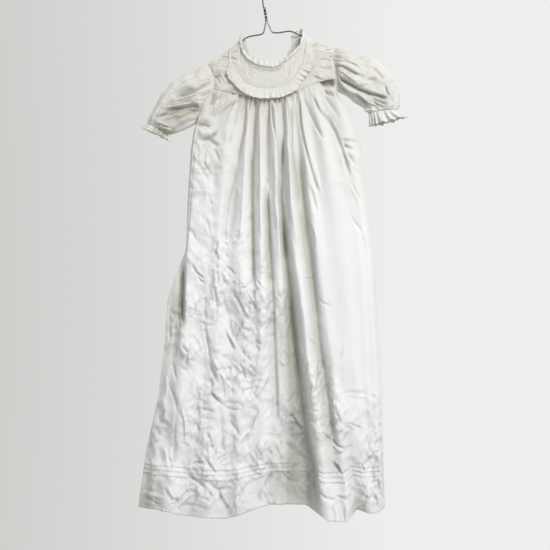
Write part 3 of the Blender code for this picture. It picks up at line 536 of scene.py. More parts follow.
    (1.6, -1.6, 0.4, (268, 492), (273, 495)),
    (1.4, -1.6, -0.4, (276, 450), (283, 440)),
    (1.6, -2.0, 0.4, (304, 277), (310, 279), (316, 275)),
    (1.5, -1.8, -0.4, (317, 297), (322, 303), (331, 307)),
    (2.0, -2.2, 0.4, (308, 338), (312, 341), (316, 346)),
    (1.4, -1.2, -0.4, (342, 345), (340, 353), (337, 361)),
    (1.6, -2.2, 0.4, (283, 351), (287, 355), (289, 361)),
    (1.6, 1.8, -0.4, (280, 360), (285, 366)),
    (1.4, -1.6, 0.4, (309, 384), (316, 388)),
    (1.4, -1.6, -0.4, (311, 396), (318, 394)),
    (1.4, -1.6, 0.4, (312, 408), (320, 410)),
    (1.4, 1.6, -0.4, (313, 416), (322, 414)),
    (1.4, -1.4, 0.4, (319, 425), (330, 424)),
    (1.6, -2.6, -0.4, (321, 429), (326, 435), (332, 442)),
    (1.8, -3.0, 0.4, (331, 437), (337, 443), (343, 446), (353, 445)),
    (1.5, 2.4, -0.4, (330, 441), (336, 447), (342, 450)),
    (1.6, -1.8, 0.4, (330, 453), (340, 451), (351, 448)),
    (2.4, -2.8, -0.4, (330, 459), (335, 464), (341, 473)),
    (1.8, -2.6, 0.4, (336, 461), (338, 466), (340, 471)),
    (1.6, 2.0, -0.4, (333, 459), (338, 463)),
    (1.5, -1.8, 0.4, (345, 420), (354, 424), (363, 428)),
    (1.8, -1.6, -0.4, (334, 410), (337, 415), (340, 421)),
    (1.8, -1.8, 0.4, (339, 418), (334, 423), (330, 428)),
    (1.6, -1.8, -0.4, (344, 459), (352, 458), (360, 458)),
    (1.8, -2.2, 0.4, (360, 461), (362, 466), (364, 471)),
    (1.6, -1.4, -0.4, (341, 467), (350, 470)),
    (1.8, -1.6, 0.4, (368, 434), (365, 440), (361, 448)),
    (1.6, -1.6, -0.4, (381, 410), (380, 418), (376, 422)),
    (1.6, -1.8, 0.4, (376, 423), (382, 427)),
    (2.0, -1.6, -0.4, (340, 393), (352, 392), (368, 394)),
    (2.0, -1.6, 0.4, (368, 394), (376, 397), (381, 402)),
    (1.8, 1.4, -0.4, (340, 396), (352, 395), (372, 397)),
    (1.6, -1.4, 0.4, (324, 384), (332, 392)),
    (1.6, 1.4, -0.4, (326, 392), (334, 400)),
    (1.6, -1.4, 0.4, (328, 400), (336, 397)),
    (2.0, -3.0, -0.4, (211, 486), (220, 488), (231, 487)),
    (2.0, 2.2, 0.4, (209, 484), (213, 490), (217, 493)),
    (1.8, -2.0, -0.4, (164, 485), (168, 491), (173, 497)),
    (1.8, 2.2, 0.4, (169, 484), (173, 491), (177, 497)),
    (2.0, -2.2, -0.4, (169, 498), (180, 498)),
    (2.2, 2.2, 0.4, (176, 500), (183, 492), (190, 484)),
    (2.6, -3.2, -0.4, (142, 500), (153, 502), (161, 506), (168, 510)),
    (2.6, 2.6, 0.4, (138, 494), (152, 494), (169, 496)),
    (2.0, -2.2, -0.4, (138, 491), (150, 491), (160, 492)),
    (2.4, -2.0, 0.4, (220, 488), (222, 500), (230, 514)),
    (2.4, -1.8, -0.4, (190, 489), (200, 495), (212, 500)),
    (2.4, 1.8, 0.4, (228, 514), (238, 500), (246, 488)),
    (2.2, -1.8, -0.4, (180, 506), (195, 504), (212, 508)),
    (2.0, -2.2, 0.4, (368, 482), (374, 480), (379, 477)),
    (2.4, -2.8, -0.4, (376, 479), (379, 489), (383, 500)),
    (2.0, 2.4, 0.4, (371, 484), (376, 494), (380, 504)),
    (1.8, -2.0, -0.4, (335, 493), (342, 495), (349, 498)),
    (1.8, 1.8, 0.4, (332, 490), (342, 491), (352, 490)),
    (2.0, 2.6, -0.4, (365, 485), (360, 493), (355, 504)),
    (1.8, -2.4, 0.4, (363, 484), (358, 492), (353, 502)),
    (1.6, -1.6, -0.4, (362, 495), (372, 497)),
    (2.4, -1.8, 0.4, (331, 500), (333, 510), (334, 520)),
    (2.4, -1.8, -0.4, (341, 502), (342, 510), (343, 520)),
    (6.5, -7.5, 0, (319, 83), (327, 84), (336, 82.5)),
    (1.8, -3.0, 0.3, (323.9, 87), (326, 91.5), (328.5, 94), (334, 94.8)),
    (1.4, 2.0, 0, (327, 89), (332, 91.5), (337, 96)),
    (1.4, -2.2, 0, (334, 90), (338, 96), (341, 101)),
    (2.4, -2.6, 0.3, (214, 92), (212, 100), (209, 107)),
    (1.8, 1.6, -0.3, (218, 91), (216, 100), (214, 108)),
    (2.2, -3.0, -0.5, (186, 474), (196, 480), (208, 487)),
    (2.4, 2.6, 0.5, (150, 496), (160, 505), (168, 511)),
    (2.0, -2.8, 0.5, (233, 499), (242, 488), (252, 478)),
    (2.2, 2.8, -0.5, (252, 478), (262, 474), (270, 470)),
    (2.4, -3.0, 0.4, (262, 492), (266, 480), (272, 470)),
    (2.2, 2.4, -0.4, (272, 506), (268, 494), (262, 484)),
    (2.2, -2.6, 0.4, (206, 428), (212, 440), (214, 452)),
    (2.0, 2.2, -0.4, (182, 404), (186, 420), (186, 440)),
    (2.2, -2.6, -0.4, (228, 420), (236, 428), (240, 436)),
    (2.0, 2.2, 0.4, (262, 404), (258, 416), (252, 424)),
    (2.0, -2.4, -0.4, (268, 380), (262, 392), (254, 400)),
    (2.2, 2.4, 0.4, (196, 340), (190, 352), (190, 366)),
    (2.0, -2.4, -0.4, (238, 372), (232, 384), (232, 396)),
    (2.0, 2.2, 0.4, (276, 398), (272, 412), (264, 420)),
    (2.0, -2.2, 0.4, (241, 346), (246, 356), (254, 362)),
    (2.0, -2.4, 0.4, (192, 262), (197, 272), (206, 280)),
    (2.0, 2.2, -0.4, (206, 292), (198, 302), (194, 314)),
    (2.2, -2.4, 0.4, (232, 290), (240, 302), (246, 318)),
    (2.0, 2.0, 0.4, (190, 330), (200, 340), (204, 352)),
    (2.0, -2.2, -0.4, (246, 318), (238, 330), (234, 342)),
    (3.0, -2.6, 0.4, (241, 100.5), (229, 108), (217, 116), (207, 121)),
    (5.0, 2.6, -0.3, (236, 96), (222, 105), (209, 114)),
    (2.4, -2.0, 0.4, (246, 103), (240, 118), (232, 134), (228, 148)),
    (2.6, 1.8, -0.3, (241, 112), (234, 128), (229, 144)),
    (2.2, -2.2, 0.4, (222, 96), (213, 103), (205, 108)),
    (2.2, -3.0, 0.4, (366, 484), (360, 494), (352, 508), (348, 515)),
    (2.0, -2.6, -0.4, (350, 507), (358, 509), (366, 514)),
    (2.2, 2.4, 0.4, (372, 486), (366, 498), (358, 506)),
    (2.4, -3.0, 0.4, (193, 487), (184, 494), (174, 503), (167, 510)),
    (2.2, -3.2, -0.4, (144, 500), (154, 503), (164, 509)),
    (2.0, 2.4, 0.4, (196, 490), (188, 498), (178, 506)),
    (2.4, -2.6, 0.4, (218, 486), (222, 496), (228, 506), (233, 513)),
    (2.2, 2.2, -0.4, (238, 490), (236, 500), (242, 508)),
    (2.0, -2.4, 0.4, (318, 486), (324, 492), (336, 496)),
    (2.0, -2.0, -0.4, (262, 486), (258, 496), (262, 502)),
]

# Creases of the sleeves, as above
SLEEVE_CREASES = [
    (3.5, -4.5, -0.3, (211, 79), (200.6, 85.8), (190.9, 91.8), (182.4, 95.2), (172.7, 98.6)),
    (2.2, 2.4, 0.3, (208, 83.5), (194.5, 94), (182.4, 98.4), (171, 100.4)),
    (3.4, -4.5, 0.4, (202, 104.5), (193, 106), (184, 107.6), (174, 109), (163, 109.5)),
    (1.8, 2.2, -0.5, (192, 101.5), (182.4, 104), (170.3, 105.6), (158.5, 106)),
    (2.0, -3.2, 0.3, (184, 108.2), (176.4, 110.8), (164.2, 114.4), (152.5, 117.5)),
    (1.6, 1.8, -0.3, (182, 112), (172, 115.5), (160, 119.5)),
    (1.3, 1.8, 0.3, (156.4, 120.3), (162, 122.5), (168.5, 125)),
    (1.8, -2.6, 0, (152, 122), (160, 124.5), (170.3, 126.8)),
    (1.8, -2.0, 0.3, (196, 109.5), (186, 114), (178, 118.5), (172, 123)),
    (1.2, -1.7, 0, (196.4, 82.1), (200.6, 83.5), (205, 81.5), (210.3, 79.3)),
    (1.2, -1.5, 0, (205, 72.8), (212, 74.4)),
    (1.2, -1.5, 0.3, (212, 76.5), (204, 79), (197, 80.5)),
    (1.4, -1.8, 0.3, (200.6, 94.4), (206.7, 92.4), (210.9, 88.6)),
    (1.2, -1.6, 0, (193.3, 100.3), (199, 99.4), (205.5, 99)),
    (1.2, -1.4, 0, (195, 104), (200, 103), (204, 102.4)),
    (1.6, 1.6, -0.3, (210, 86), (204, 90), (198, 92)),
    (1.6, -1.6, 0.3, (187, 79), (178, 84), (170, 91)),
    (2.6, -1.4, 0, (176, 97), (168, 103), (160, 112)),
    (3.2, -4.8, 0.4, (335.8, 70.1), (342.1, 78), (349.1, 82.5), (359.6, 88.6), (370.2, 92.8),
     (380.7, 95), (392, 98)),
    (2.0, 2.8, -0.4, (336.5, 73.5), (343.5, 83), (353.3, 90), (366.7, 98.2), (377.2, 105)),
    (1.8, -3.0, 0.3, (333.5, 62.4), (343.5, 65.2), (350.5, 69.4), (360.4, 75.2)),
    (1.6, 1.6, -0.3, (336, 67), (343, 71), (350, 76.5), (357, 81.5)),
    (1.2, -2.2, 0, (337.2, 80.6), (343.5, 86.9), (349.1, 91.1)),
    (1.2, 1.8, 0, (338.5, 78.5), (346, 85.5), (353, 91)),
    (1.8, -3.8, 0.4, (354.5, 90.5), (363.2, 96.8), (369.5, 103.3)),
    (1.2, -2.2, 0, (374.4, 101.5), (379, 103.8), (384.5, 106)),
    (1.2, -1.9, 0, (371, 102.5), (376, 105.2), (381, 107.6)),
    (1.2, 1.5, 0, (373, 104), (377, 106), (382, 108)),
    (1.8, -3.4, 0.3, (385.6, 82.7), (387.7, 89.7), (391.2, 95.6)),
    (1.2, -1.8, 0, (394, 93.4), (397.7, 91)),
    (2.6, -1.6, 0, (366.7, 80), (372, 79.4), (377.2, 79.2)),
    (1.8, 1.4, 0, (360, 83.6), (370, 82.6)),
    (2.0, -1.6, 0, (359.6, 60.3), (366, 60), (373, 59.4)),
    (1.0, -1.3, 0, (336, 50.1), (348, 50.1)),
    (1.0, -1.3, 0, (336.5, 52), (348, 52)),
    (1.0, -1.3, 0, (335.5, 55.5), (347, 56.2)),
    (1.0, -1.3, 0, (335.5, 58.6), (347, 59.8)),
    (1.4, 1.6, 0, (372, 96), (382, 98.6), (391, 101.5)),
    (1.2, -1.7, 0, (376, 99.5), (388, 103.5)),
    (1.6, 1.4, 0, (343, 56.5), (356, 63.5), (364, 69)),
    (2.4, -1.5, 0, (372, 66), (380, 74), (386, 81)),
    (5, -3.6, 0.3, (198, 85.5), (188, 90), (179, 94.5), (172, 98)),
    (8, -4.5, 0.5, (199, 112), (188, 110), (175, 110.5), (161, 113)),
    (6, -4.0, 0, (150, 127), (158, 131), (168, 134.5), (180, 133)),
    (2.2, 3.0, 0, (156, 123.5), (163, 126), (171, 129)),
    (2.4, 2.4, 0.3, (196, 122), (188, 124), (178, 129)),
    (2.0, 2.6, 0, (333, 87.5), (346.3, 94), (359.6, 102)),
    (2.0, -3.0, 0.3, (345, 96.5), (356, 102.5), (364, 105)),
    (2.2, 2.8, 0, (360.4, 105.5), (370, 107.6), (377, 108.4)),
    (1.8, -2.4, 0, (361, 108.5), (368, 111.5), (376, 113)),
    (2.0, 2.4, 0, (352, 98.5), (358, 104), (365, 111)),
]

# Creases of the yoke's shoulder parts, as above
YOKE_CREASES = [
    (1.4, -1.6, 0, (219, 56.6), (225, 56.4), (231, 57.4), (239, 61.5)),
    (1.2, 1.1, 0, (211, 63.5), (217, 60), (223, 58.4), (233, 60)),
    (1.2, -1.2, 0, (209, 65.6), (216, 63.4), (222, 62.8)),
    (1.1, -0.9, 0, (212, 66.8), (220, 66), (230, 67.5)),
    (1.2, -1.1, 0, (223, 52), (228, 49.5), (233, 46.4)),
    (1.1, -1.0, 0, (226, 54), (233, 51.5), (238, 51.5)),
    (1.1, 0.9, 0, (224, 61.5), (234, 62.5), (240, 64.5)),
    (1.8, -1.0, 0.3, (214, 74), (218, 80), (222, 86)),
    (1.6, 0.9, -0.3, (219, 72), (223, 79), (227, 85)),
    (1.8, -1.2, 0, (210, 76), (216, 77.5), (221, 76)),
    (1.0, -1.3, 0, (309.1, 46.2), (313, 43.6), (316.4, 42)),
    (1.0, -1.2, 0, (311.4, 47.2), (315.5, 44.4), (319.4, 42)),
    (1.6, -1.3, 0.3, (318, 43.5), (324, 46), (330, 46.5)),
    (1.1, -1.3, 0, (323.2, 50.1), (328, 49.4), (333, 47.6)),
    (1.1, -1.1, 0, (325, 52.5), (331, 53.5), (335, 55.5)),
    (1.1, -1.0, 0, (328, 56), (333, 57.6)),
    (1.1, 0.9, 0, (312, 50), (320, 50.5), (328, 52.5)),
    (1.8, -1.0, 0, (318, 60), (326, 59.5), (333, 61.5)),
    (2.6, -1.0, 0, (316, 67), (325, 69), (334, 68)),
    (2.0, -1.4, 0, (312, 76), (318, 79), (326, 80)),
]

# Upright tucks of the front yoke: from x, to x, pitch
YOKE_TUCKS = [
    (-45.0, -30.6, 3.6),
    (-22.0, -18.4, 1.8),
    (21.5, 30.5, 3.0),
    (48.5, 60.5, 4.0),
]

# Ladders of openwork in the front yoke: from x, to x
YOKE_LADDERS = [(-29.5, -23.0), (32.5, 47.0)]

# Where the skirt is crumpled: x, z, half width, half height, strength
CRUMPLED = [
    (-95, -620, 80, 140, 0.9),
    (-60, -730, 130, 90, 1.0),
    (30, -750, 70, 90, 0.9),
    (90, -770, 60, 80, 1.0),
    (95, -690, 22, 80, 0.7),
    (150, -730, 50, 60, 0.4),
    (-20, -590, 50, 130, 0.7),
    (-95, -430, 40, 150, 0.5),
    (-110, -300, 30, 60, 0.5),
    (-150, -640, 30, 130, 0.7),
    (128, -320, 26, 40, 0.5),
    (150, -800, 60, 60, 0.9),
    (-150, -810, 70, 60, 0.9),
    (20, -845, 220, 40, 1.15),
    (60, -640, 60, 90, 0.3),
]

# Where it is smoother than the rest, as above
SMOOTH = [
    (125, -480, 48, 190, 0.3),
    (150, -560, 50, 120, 0.35),
    (100, -280, 40, 60, 0.2),
    (-70, -240, 40, 36, 0.5),
    (30, -300, 50, 80, 0.1),
]

# Spots of painted shade in the hollows of the front that little light reaches: x, z, half width, half
# height, amount
SHADED = [
    (101, -195, 12, 6, 1.0),
    (106, -201, 6, 7, 0.5),
    (-136, -560, 9, 34, 0.6),
    (-74, -182, 9, 6, 0.7),
    (-56, -210, 17, 5, 0.5),
    (-80, -202, 5, 6, 0.6),
    (-99, -263, 14, 5, 0.45),
    (-97, -287, 10, 4, 0.5),
    (12, -846, 42, 22, 0.3),
    (46, -815, 24, 36, 0.35),
    (38, -650, 12, 80, 0.35),
    (42, -765, 18, 60, 0.35),
    (108, -775, 20, 50, 0.2),
    (-60, -876, 60, 9, 0.3),
    (100, -800, 90, 14, 0.2),
    (60, -790, 16, 30, 0.25),
    (-190, -850, 26, 30, 0.25),
    (60, -862, 22, 20, 0.3),
    (150, -877, 17, 7, 0.55),
    (-177, -867, 16, 6, 0.45),
    (-60, -180, 300, 70, 0.1),
    (-182, -861, 12, 8, 0.35),
    (-124, -210, 15, 5, 0.65),
    (-140, -248, 28, 7, 0.8),
    (-146, -261, 22, 7, 0.4),
    (-110, -240, 12, 7, 0.4),
    (-162, -275, 26, 7, 1.0),
    (-194, -276, 5, 5, 1.0),
    (125, -219, 9, 5, 0.6),
    (187, -221, 9, 4, 0.5),
    (158, -226, 12, 4, 0.4),
]


# Curves and lines through the tables


def read(table, key, column):
    """A column of a table against its first one, straight between the rows."""
    rows = sorted(table)
    return np.interp(key, [row[0] for row in rows], [row[column] for row in rows])


def spline(values, place):
    """Smooth curve through values (numbers or arrays, first axis), read at places 0..len-1."""
    values = np.asarray(values, float)
    place = np.asarray(place, float)
    last = len(values) - 1
    slopes = np.gradient(values, axis=0)
    i = np.minimum(place.astype(int), last - 1)
    t = place - i
    t = t.reshape(t.shape + (1,) * (values.ndim - 1))
    t2, t3 = t * t, t * t * t
    return (
        values[i] * (2 * t3 - 3 * t2 + 1)
        + values[i + 1] * (3 * t2 - 2 * t3)
        + slopes[i] * (t3 - 2 * t2 + t)
        + slopes[i + 1] * (t3 - t2)
    )


def blend(a, b, share):
    return a + (b - a) * share


def soft(share):
    share = np.clip(share, 0.0, 1.0)
    return share * share * (3 - 2 * share)


def joined(x, y, z):
    """Points from three arrays of coordinates."""
    return np.stack(np.broadcast_arrays(x, y, z), axis=-1)


def unit(vectors):
    return vectors / np.maximum(np.linalg.norm(vectors, axis=-1, keepdims=True), 1e-9)


# Uneven surfaces


def rolling(x, z, seed):
    """Smooth uneven field between about -1 and 1, the same for the same seed."""
    chance = np.random.RandomState(seed)
    way = chance.rand(64, 64) * 2 * math.pi
    i, k = np.floor(x).astype(int), np.floor(z).astype(int)
    u, v = x - i, z - k
    total = 0.0
    for di in (0, 1):
        for dk in (0, 1):
            turn = way[(i + di) % 64, (k + dk) % 64]
            push = np.cos(turn) * (u - di) + np.sin(turn) * (v - dk)
            near_u = 1 - soft(np.abs(u - di))
            near_v = 1 - soft(np.abs(v - dk))
            total = total + push * near_u * near_v
    return total * 1.6


def crumple(x, z, size, seed):
    """Sharp wandering ridges over flat facets, as in cotton that was folded away."""
    bent_x = x + size * 0.5 * rolling(x / size / 1.3, z / size / 1.3, seed + 1)
    bent_z = z + size * 0.5 * rolling(x / size / 1.3, z / size / 1.3, seed + 2)
    lift = 0.0
    for turn, share in ((0.5, 1.0), (-0.7, 0.8), (1.5, 0.55)):
        along = bent_x * math.cos(turn) + bent_z * math.sin(turn)
        across = bent_z * math.cos(turn) - bent_x * math.sin(turn)
        ridges = rolling(along / size, across / size / 1.9, seed + int(turn * 10) + 40)
        lift = lift + share * (0.5 - np.abs(ridges))
    return lift


def faceted(x, z, size, tall, turn, seed):
    """Flat slanting patches that meet in straight creases, between about -1 and 1."""
    height = np.random.RandomState(seed).rand(64, 64) * 2 - 1
    bent_x = x + size * 0.5 * rolling(x / size / 2.4, z / size / 2.4, seed + 1)
    bent_z = z + size * 0.5 * rolling(x / size / 2.4, z / size / 2.4, seed + 2)
    along = (bent_x * math.cos(turn) + bent_z * math.sin(turn)) / size
    across = (bent_z * math.cos(turn) - bent_x * math.sin(turn)) / tall
    i, k = np.floor(along).astype(int), np.floor(across).astype(int)
    u, v = along - i, across - k
    near, far = height[i % 64, k % 64], height[(i + 1) % 64, (k + 1) % 64]
    beside, above = height[(i + 1) % 64, k % 64], height[i % 64, (k + 1) % 64]
    lower = near + (beside - near) * u + (above - near) * v
    upper = far + (above - far) * (1 - u) + (beside - far) * (1 - v)
    return np.where(u + v < 1, lower, upper)


def on_gown(spots, depth):
    """Spots of the photo, column and row, carried to whole millimetres of x and z on the cloth."""
    places = []
    for column, row in spots:
        from_x = (column - PHOTO_HOOK_COLUMN) * PHOTO_PIXEL - PHOTO_MIDDLE_X
        from_z = (PHOTO_TOP_Z - PHOTO_PIXEL * row) - PHOTO_MIDDLE_Z
        x = PHOTO_MIDDLE_X + from_x * (PHOTO_DISTANCE - depth) / PHOTO_DISTANCE
        z = PHOTO_MIDDLE_Z + from_z * (PHOTO_DISTANCE - depth) / PHOTO_DISTANCE
        places.append((round(x), round(z)))
    return np.array(places, float)


def creased(x, z, rows, depth=BODY_DEPTH):
    """Sum of the listed creases: crests or troughs along broken lines, fading at both ends."""
    lift = np.zeros(np.broadcast(x, z).shape)
    for width, rise, lean, *spots in rows:
        points = on_gown(spots, depth)
        steps = np.hypot(*np.diff(points, axis=0).T)
        run = np.concatenate([[0.0], np.cumsum(steps)])
        margin = 4.0 * width
        low, high = points.min(axis=0) - margin, points.max(axis=0) + margin
        near = (x > low[0]) & (x < high[0]) & (z > low[1]) & (z < high[1])
        if not near.any():
            continue
        px, pz = x[near], z[near]
        away, along, side = np.full(px.shape, 1e9), np.zeros(px.shape), np.ones(px.shape)
        for k, step in enumerate(steps):
            (ax, az), (bx, bz) = points[k], points[k + 1]
            dx, dz = (bx - ax) / step, (bz - az) / step
            at = np.clip((px - ax) * dx + (pz - az) * dz, 0, step)
            gap = np.hypot(px - ax - at * dx, pz - az - at * dz)
            closer = gap < away
            away = np.where(closer, gap, away)
            along = np.where(closer, run[k] + at, along)
            side = np.where(closer, np.sign((pz - az) * dx - (px - ax) * dz), side)
        body = np.clip(1 - away * (1 + lean * side) / (1.5 * width), 0, 1) ** 1.4
        ends = soft(np.minimum(along, run[-1] - along) / min(max(9.0, 7.0 * width), run[-1] / 3) + 0.1)
        lift[near] += rise * body * ends
    return lift


def spotted(x, z, spots):
    """Sum of soft round spots, each fading out from its middle."""
    total = 0.0
    for middle_x, middle_z, half_x, half_z, amount in spots:
        away = ((x - middle_x) / half_x) ** 2 + ((z - middle_z) / half_z) ** 2
        total = total + amount * np.exp(-away)
    return total


def shaded(x, z):
    """Painted shade at x and z from the listed spots, 0 to 1: how little light reaches the front there."""
    return np.clip(spotted(x, z, SHADED), 0, 1)


def crumple_strength(x, z):
    """How strongly the skirt is crumpled at x and z."""
    everywhere, least, most = 0.25, 0.04, 1.3
    return np.clip(everywhere + spotted(x, z, CRUMPLED) - spotted(x, z, SMOOTH), least, most)


# The forms


def yoke_angle(x, z, side):
    """Angle round the yoke: 0 on the ridge, 90 at the low edge, signed by side."""
    top, low = read(RIDGE, x, 1), read(YOKE_LOW, x, 1)
    inside = np.degrees(np.arccos(np.clip(1 - (top - z) / (top - low), -1, 1)))
    return side * np.where(z < low, 90.0 + low - z, np.maximum(0.01, inside))


def yoke_point(x, angle):
    """Points and outward directions of the yoke's face; past 90 degrees it drops straight."""
    side = np.where(angle >= 0, 1.0, -1.0)
    turn = np.radians(np.minimum(np.abs(angle), 90.0))
    top, low = read(RIDGE, x, 1), read(YOKE_LOW, x, 1)
    reach = np.where(side > 0, read(RIDGE, x, 2), read(RIDGE, x, 3))
    rise = top - low
    out = unit(joined(0 * x, -side * np.sin(turn) / reach, np.cos(turn) / rise))
    z = top - rise * (1 - np.cos(turn)) - np.maximum(0.0, np.abs(angle) - 90.0)
    return joined(x, -side * (reach * np.sin(turn) + SEAM_GAP / 2), z), out


def made(name, points, flat, facing=None, ring=False, marks=None):
    """Mesh object of a grid of points in millimetres: map of the flat cloth in metres, marked values."""
    rows, columns = points.shape[:2]
    spans = columns if ring else columns - 1
    r, c = np.meshgrid(np.arange(rows - 1), np.arange(spans), indexing="ij")
    d = (c + 1) % columns
    quads = np.stack([r * columns + c, r * columns + d, (r + 1) * columns + d, (r + 1) * columns + c], -1)
    across = np.stack([c, c + 1, c + 1, c], -1) / spans * flat[0]
    down = np.stack([r, r, r + 1, r + 1], -1) / (rows - 1) * flat[1]
    quads, across, down = quads.reshape(-1, 4), across.reshape(-1, 4), down.reshape(-1, 4)
    flat_points = points.reshape(-1, 3)
    corner = flat_points[quads]
    normal = np.cross(corner[:, 1] - corner[:, 0], corner[:, 3] - corner[:, 0])
    reference = corner.mean(axis=1) - flat_points.mean(axis=0) if facing is None else np.array(facing)
    if (normal * reference).sum() < 0:
        quads, across, down = quads[:, ::-1], across[:, ::-1], down[:, ::-1]
    mesh = bpy.data.meshes.new(name)
    mesh.from_pydata((flat_points * MM).tolist(), [], quads.tolist())
    layer = mesh.uv_layers.new(name="cloth")
    layer.data.foreach_set("uv", np.stack([across, down], -1).astype(np.float32).ravel())
    for mark, values in (marks or {}).items():
        values = np.atleast_2d(values)
        values = np.broadcast_to(values, (values.shape[0], columns))
        values = np.pad(values, ((0, rows - values.shape[0]), (0, 0)), mode="edge")
        layer = mesh.attributes.new(mark, "FLOAT", "POINT")
        layer.data.foreach_set("value", values.astype(np.float32).ravel())
    mesh.shade_smooth()
    piece = bpy.data.objects.new(name, mesh)
    bpy.context.scene.collection.objects.link(piece)
    return piece


def thickened(piece, thickness):
    """Gives a sheet its thickness, inwards from its face."""
    solid = piece.modifiers.new("thickness", "SOLIDIFY")
    solid.thickness = thickness
    solid.offset = -1.0
    bpy.ops.object.select_all(action="DESELECT")
    piece.select_set(True)
    bpy.context.view_layer.objects.active = piece
    bpy.ops.object.modifier_apply(modifier=solid.name)
    piece.data.polygons.foreach_set("use_smooth", [True] * len(piece.data.polygons))


def hung(piece, node, material, turned=False):
    """Finishes a piece of cloth: thickness, material, its solid hidden, and its body."""
    if not turned:
        thickened(piece, bpy.context.scene.gown.cloth_thickness)
    piece.data.materials.append(material)
    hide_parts(node)
    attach(piece, "root")


def evenly(spots, count, at):
    """Places along a line of spots so that what is drawn there is evenly spaced."""
    return np.interp(np.linspace(spots[0], spots[-1], count), spots, at)


def skirt_rows(parts):
    """Rows down a skirt from the yoke to the hem: how many in each stretch, the tucks' own one too."""
    tucks = (LOWEST_TUCK - 2, LOWEST_TUCK + TUCK_PITCH * TUCK_COUNT + 1)
    top, foot = (HEM_ROW - edge / HEM_SPAN for edge in tucks[::-1])
    stops = (0.0, 1.0, 2.0, 4.0, top, foot, HEM_ROW)
    rows = [np.linspace(low, high, part + 1)[1:] for low, high, part in zip(stops, stops[1:], parts)]
    return np.concatenate([[0.0], *rows])


def with_side_seams(points, y):
    """Adds a column at each outer end, where the cloth turns in to its side seam at y."""
    for end in (0, -1):
        at_slit = abs(points[-1, end, 0]) < 100.0
        if at_slit:
            continue
        seam = points[:, end:end + 1 or None].copy()
        seam[..., 1] = y
        points = np.concatenate([seam, points] if end == 0 else [points, seam], axis=1)
    return points


def with_hem(points, inwards):
    """Adds the hem turned up on the inside, so that the edge is a fold."""
    last, before = points[-1], points[-9]
    way = unit(before - last)
    turned = []
    for up, deep in ((0.4, 0.8), (4.0, 1.0), (16.0, 1.0)):
        turned.append(last + way * up + np.array((0.0, inwards * deep, 0.0)))
    return np.concatenate([points, np.array(turned)])


def tucked_under(points, inwards):
    """Adds a row above the top edge, where the skirt goes on behind the yoke."""
    return np.concatenate([points[:1] + np.array((0.0, inwards * TUCKED_IN, TUCKED_UP)), points])


def tucks_at(rows):
    """Rise of the tucks over the hem at each row, a fold edge below and a run to nothing above."""
    up = (HEM_ROW - rows) * HEM_SPAN - LOWEST_TUCK
    within = up / TUCK_PITCH
    share = within - np.floor(within)
    rise = np.where((up >= 0) & (within < TUCK_COUNT), 1 - np.minimum(share * 1.08, 1.0), 0.0)
    return TUCK_LIFT * rise


def tuck_shade(rows):
    """Painted shadow just under the fold of each tuck, most under the lowest one."""
    up = (HEM_ROW - rows) * HEM_SPAN - LOWEST_TUCK
    shade = 0.0
    for k in range(TUCK_COUNT):
        below = up - k * TUCK_PITCH + 0.5
        dark = 0.55 if k == 0 else 0.32
        shade = shade + dark * np.exp(-((below / 0.9) ** 2))
    return shade


def front_skirt_points(rows, columns):
    """Front skirt without its creases: points, and the fold place of every column."""
    guides = len(FRONT_FOLDS)
    line_x, line_z, line_depth = [], [], []
    for i, (_, places, depths, hem_z, _) in enumerate(FRONT_FOLDS):
        top_z = read(YOKE_LOW, places[0], 1) - 2 * SEAM_GAP
        z = spline((top_z,) + STATIONS + (hem_z,), rows)
        x, depth = spline(places, rows), spline(depths, rows)
        if i in (0, guides - 1):
            side = SIDE_LEFT if i == 0 else SIDE_RIGHT
            x, depth = read(side, z, 1), read(side, z, 2)
        line_x.append(x)
        line_z.append(z)
        line_depth.append(depth)
    line_x, line_z, line_depth = (np.array(v).T for v in (line_x, line_z, line_depth))
    spots = line_x[len(rows) * 3 // 5]
    place = evenly(spots, columns, np.arange(guides))
    i = np.minimum(place.astype(int), guides - 2)
    share = place - i
    x = blend(line_x[:, i], line_x[:, i + 1], share)
    z = blend(line_z[:, i], line_z[:, i + 1], share)
    depth = blend(line_depth[:, i], line_depth[:, i + 1], soft(share))
    parts = np.concatenate([[0], np.cumsum([row[4] for row in FRONT_FOLDS[:-1]])])
    return x, z, depth, np.interp(place, np.arange(guides), parts)


def hollows(depth, reach):
    """How far each place lies under the folds within reach columns of it, 0 to 1."""
    highest = depth.copy()
    for step in range(1, reach + 1):
        fall = 0.12 * step
        highest[:, step:] = np.maximum(highest[:, step:], depth[:, :-step] - fall)
        highest[:, :-step] = np.maximum(highest[:, :-step], depth[:, step:] - fall)
    return np.clip((highest - depth - 2.0) / 15.0, 0, 1)


def front_gathers(part, down):
    """Rise of the gathers under the yoke, the broad ones and the fine ones between them."""
    fade = np.clip(1 - down / GATHER_FADE, 0, 1)
    uneven = 1.25 + 0.6 * rolling(part * 0.9, part * 0 + 0.5, 5)
    broad = -np.cos(math.pi * part)[None, :] * uneven[None, :]
    fine = np.cos(2.1 * math.pi * part + 1.3)[None, :] * np.clip(1 - down / 0.7, 0, 1)
    fine = fine + 0.5 * np.cos(3.2 * math.pi * part + 0.4)[None, :] * np.clip(1 - down / 0.4, 0, 1)
    return GATHER_LIFT * fade * broad + 0.8 * fine


def front_roughness(x, z, patch):
    """Rise of the flat patches and crumples, with more of the small ones where patch is high."""
    large = faceted(x, z, 33.0, 66.0, 0.2, 11) * 4.2
    small = faceted(x, z, 17.0, 26.0, -0.5, 17) * (0.8 + 1.6 * patch)
    folded = crumple(x, z, 17.0, 23) * (0.4 + 1.6 * patch)
    fine = crumple(x, z, 9.0, 31) * 2.0 * patch
    return large + small + folded + fine


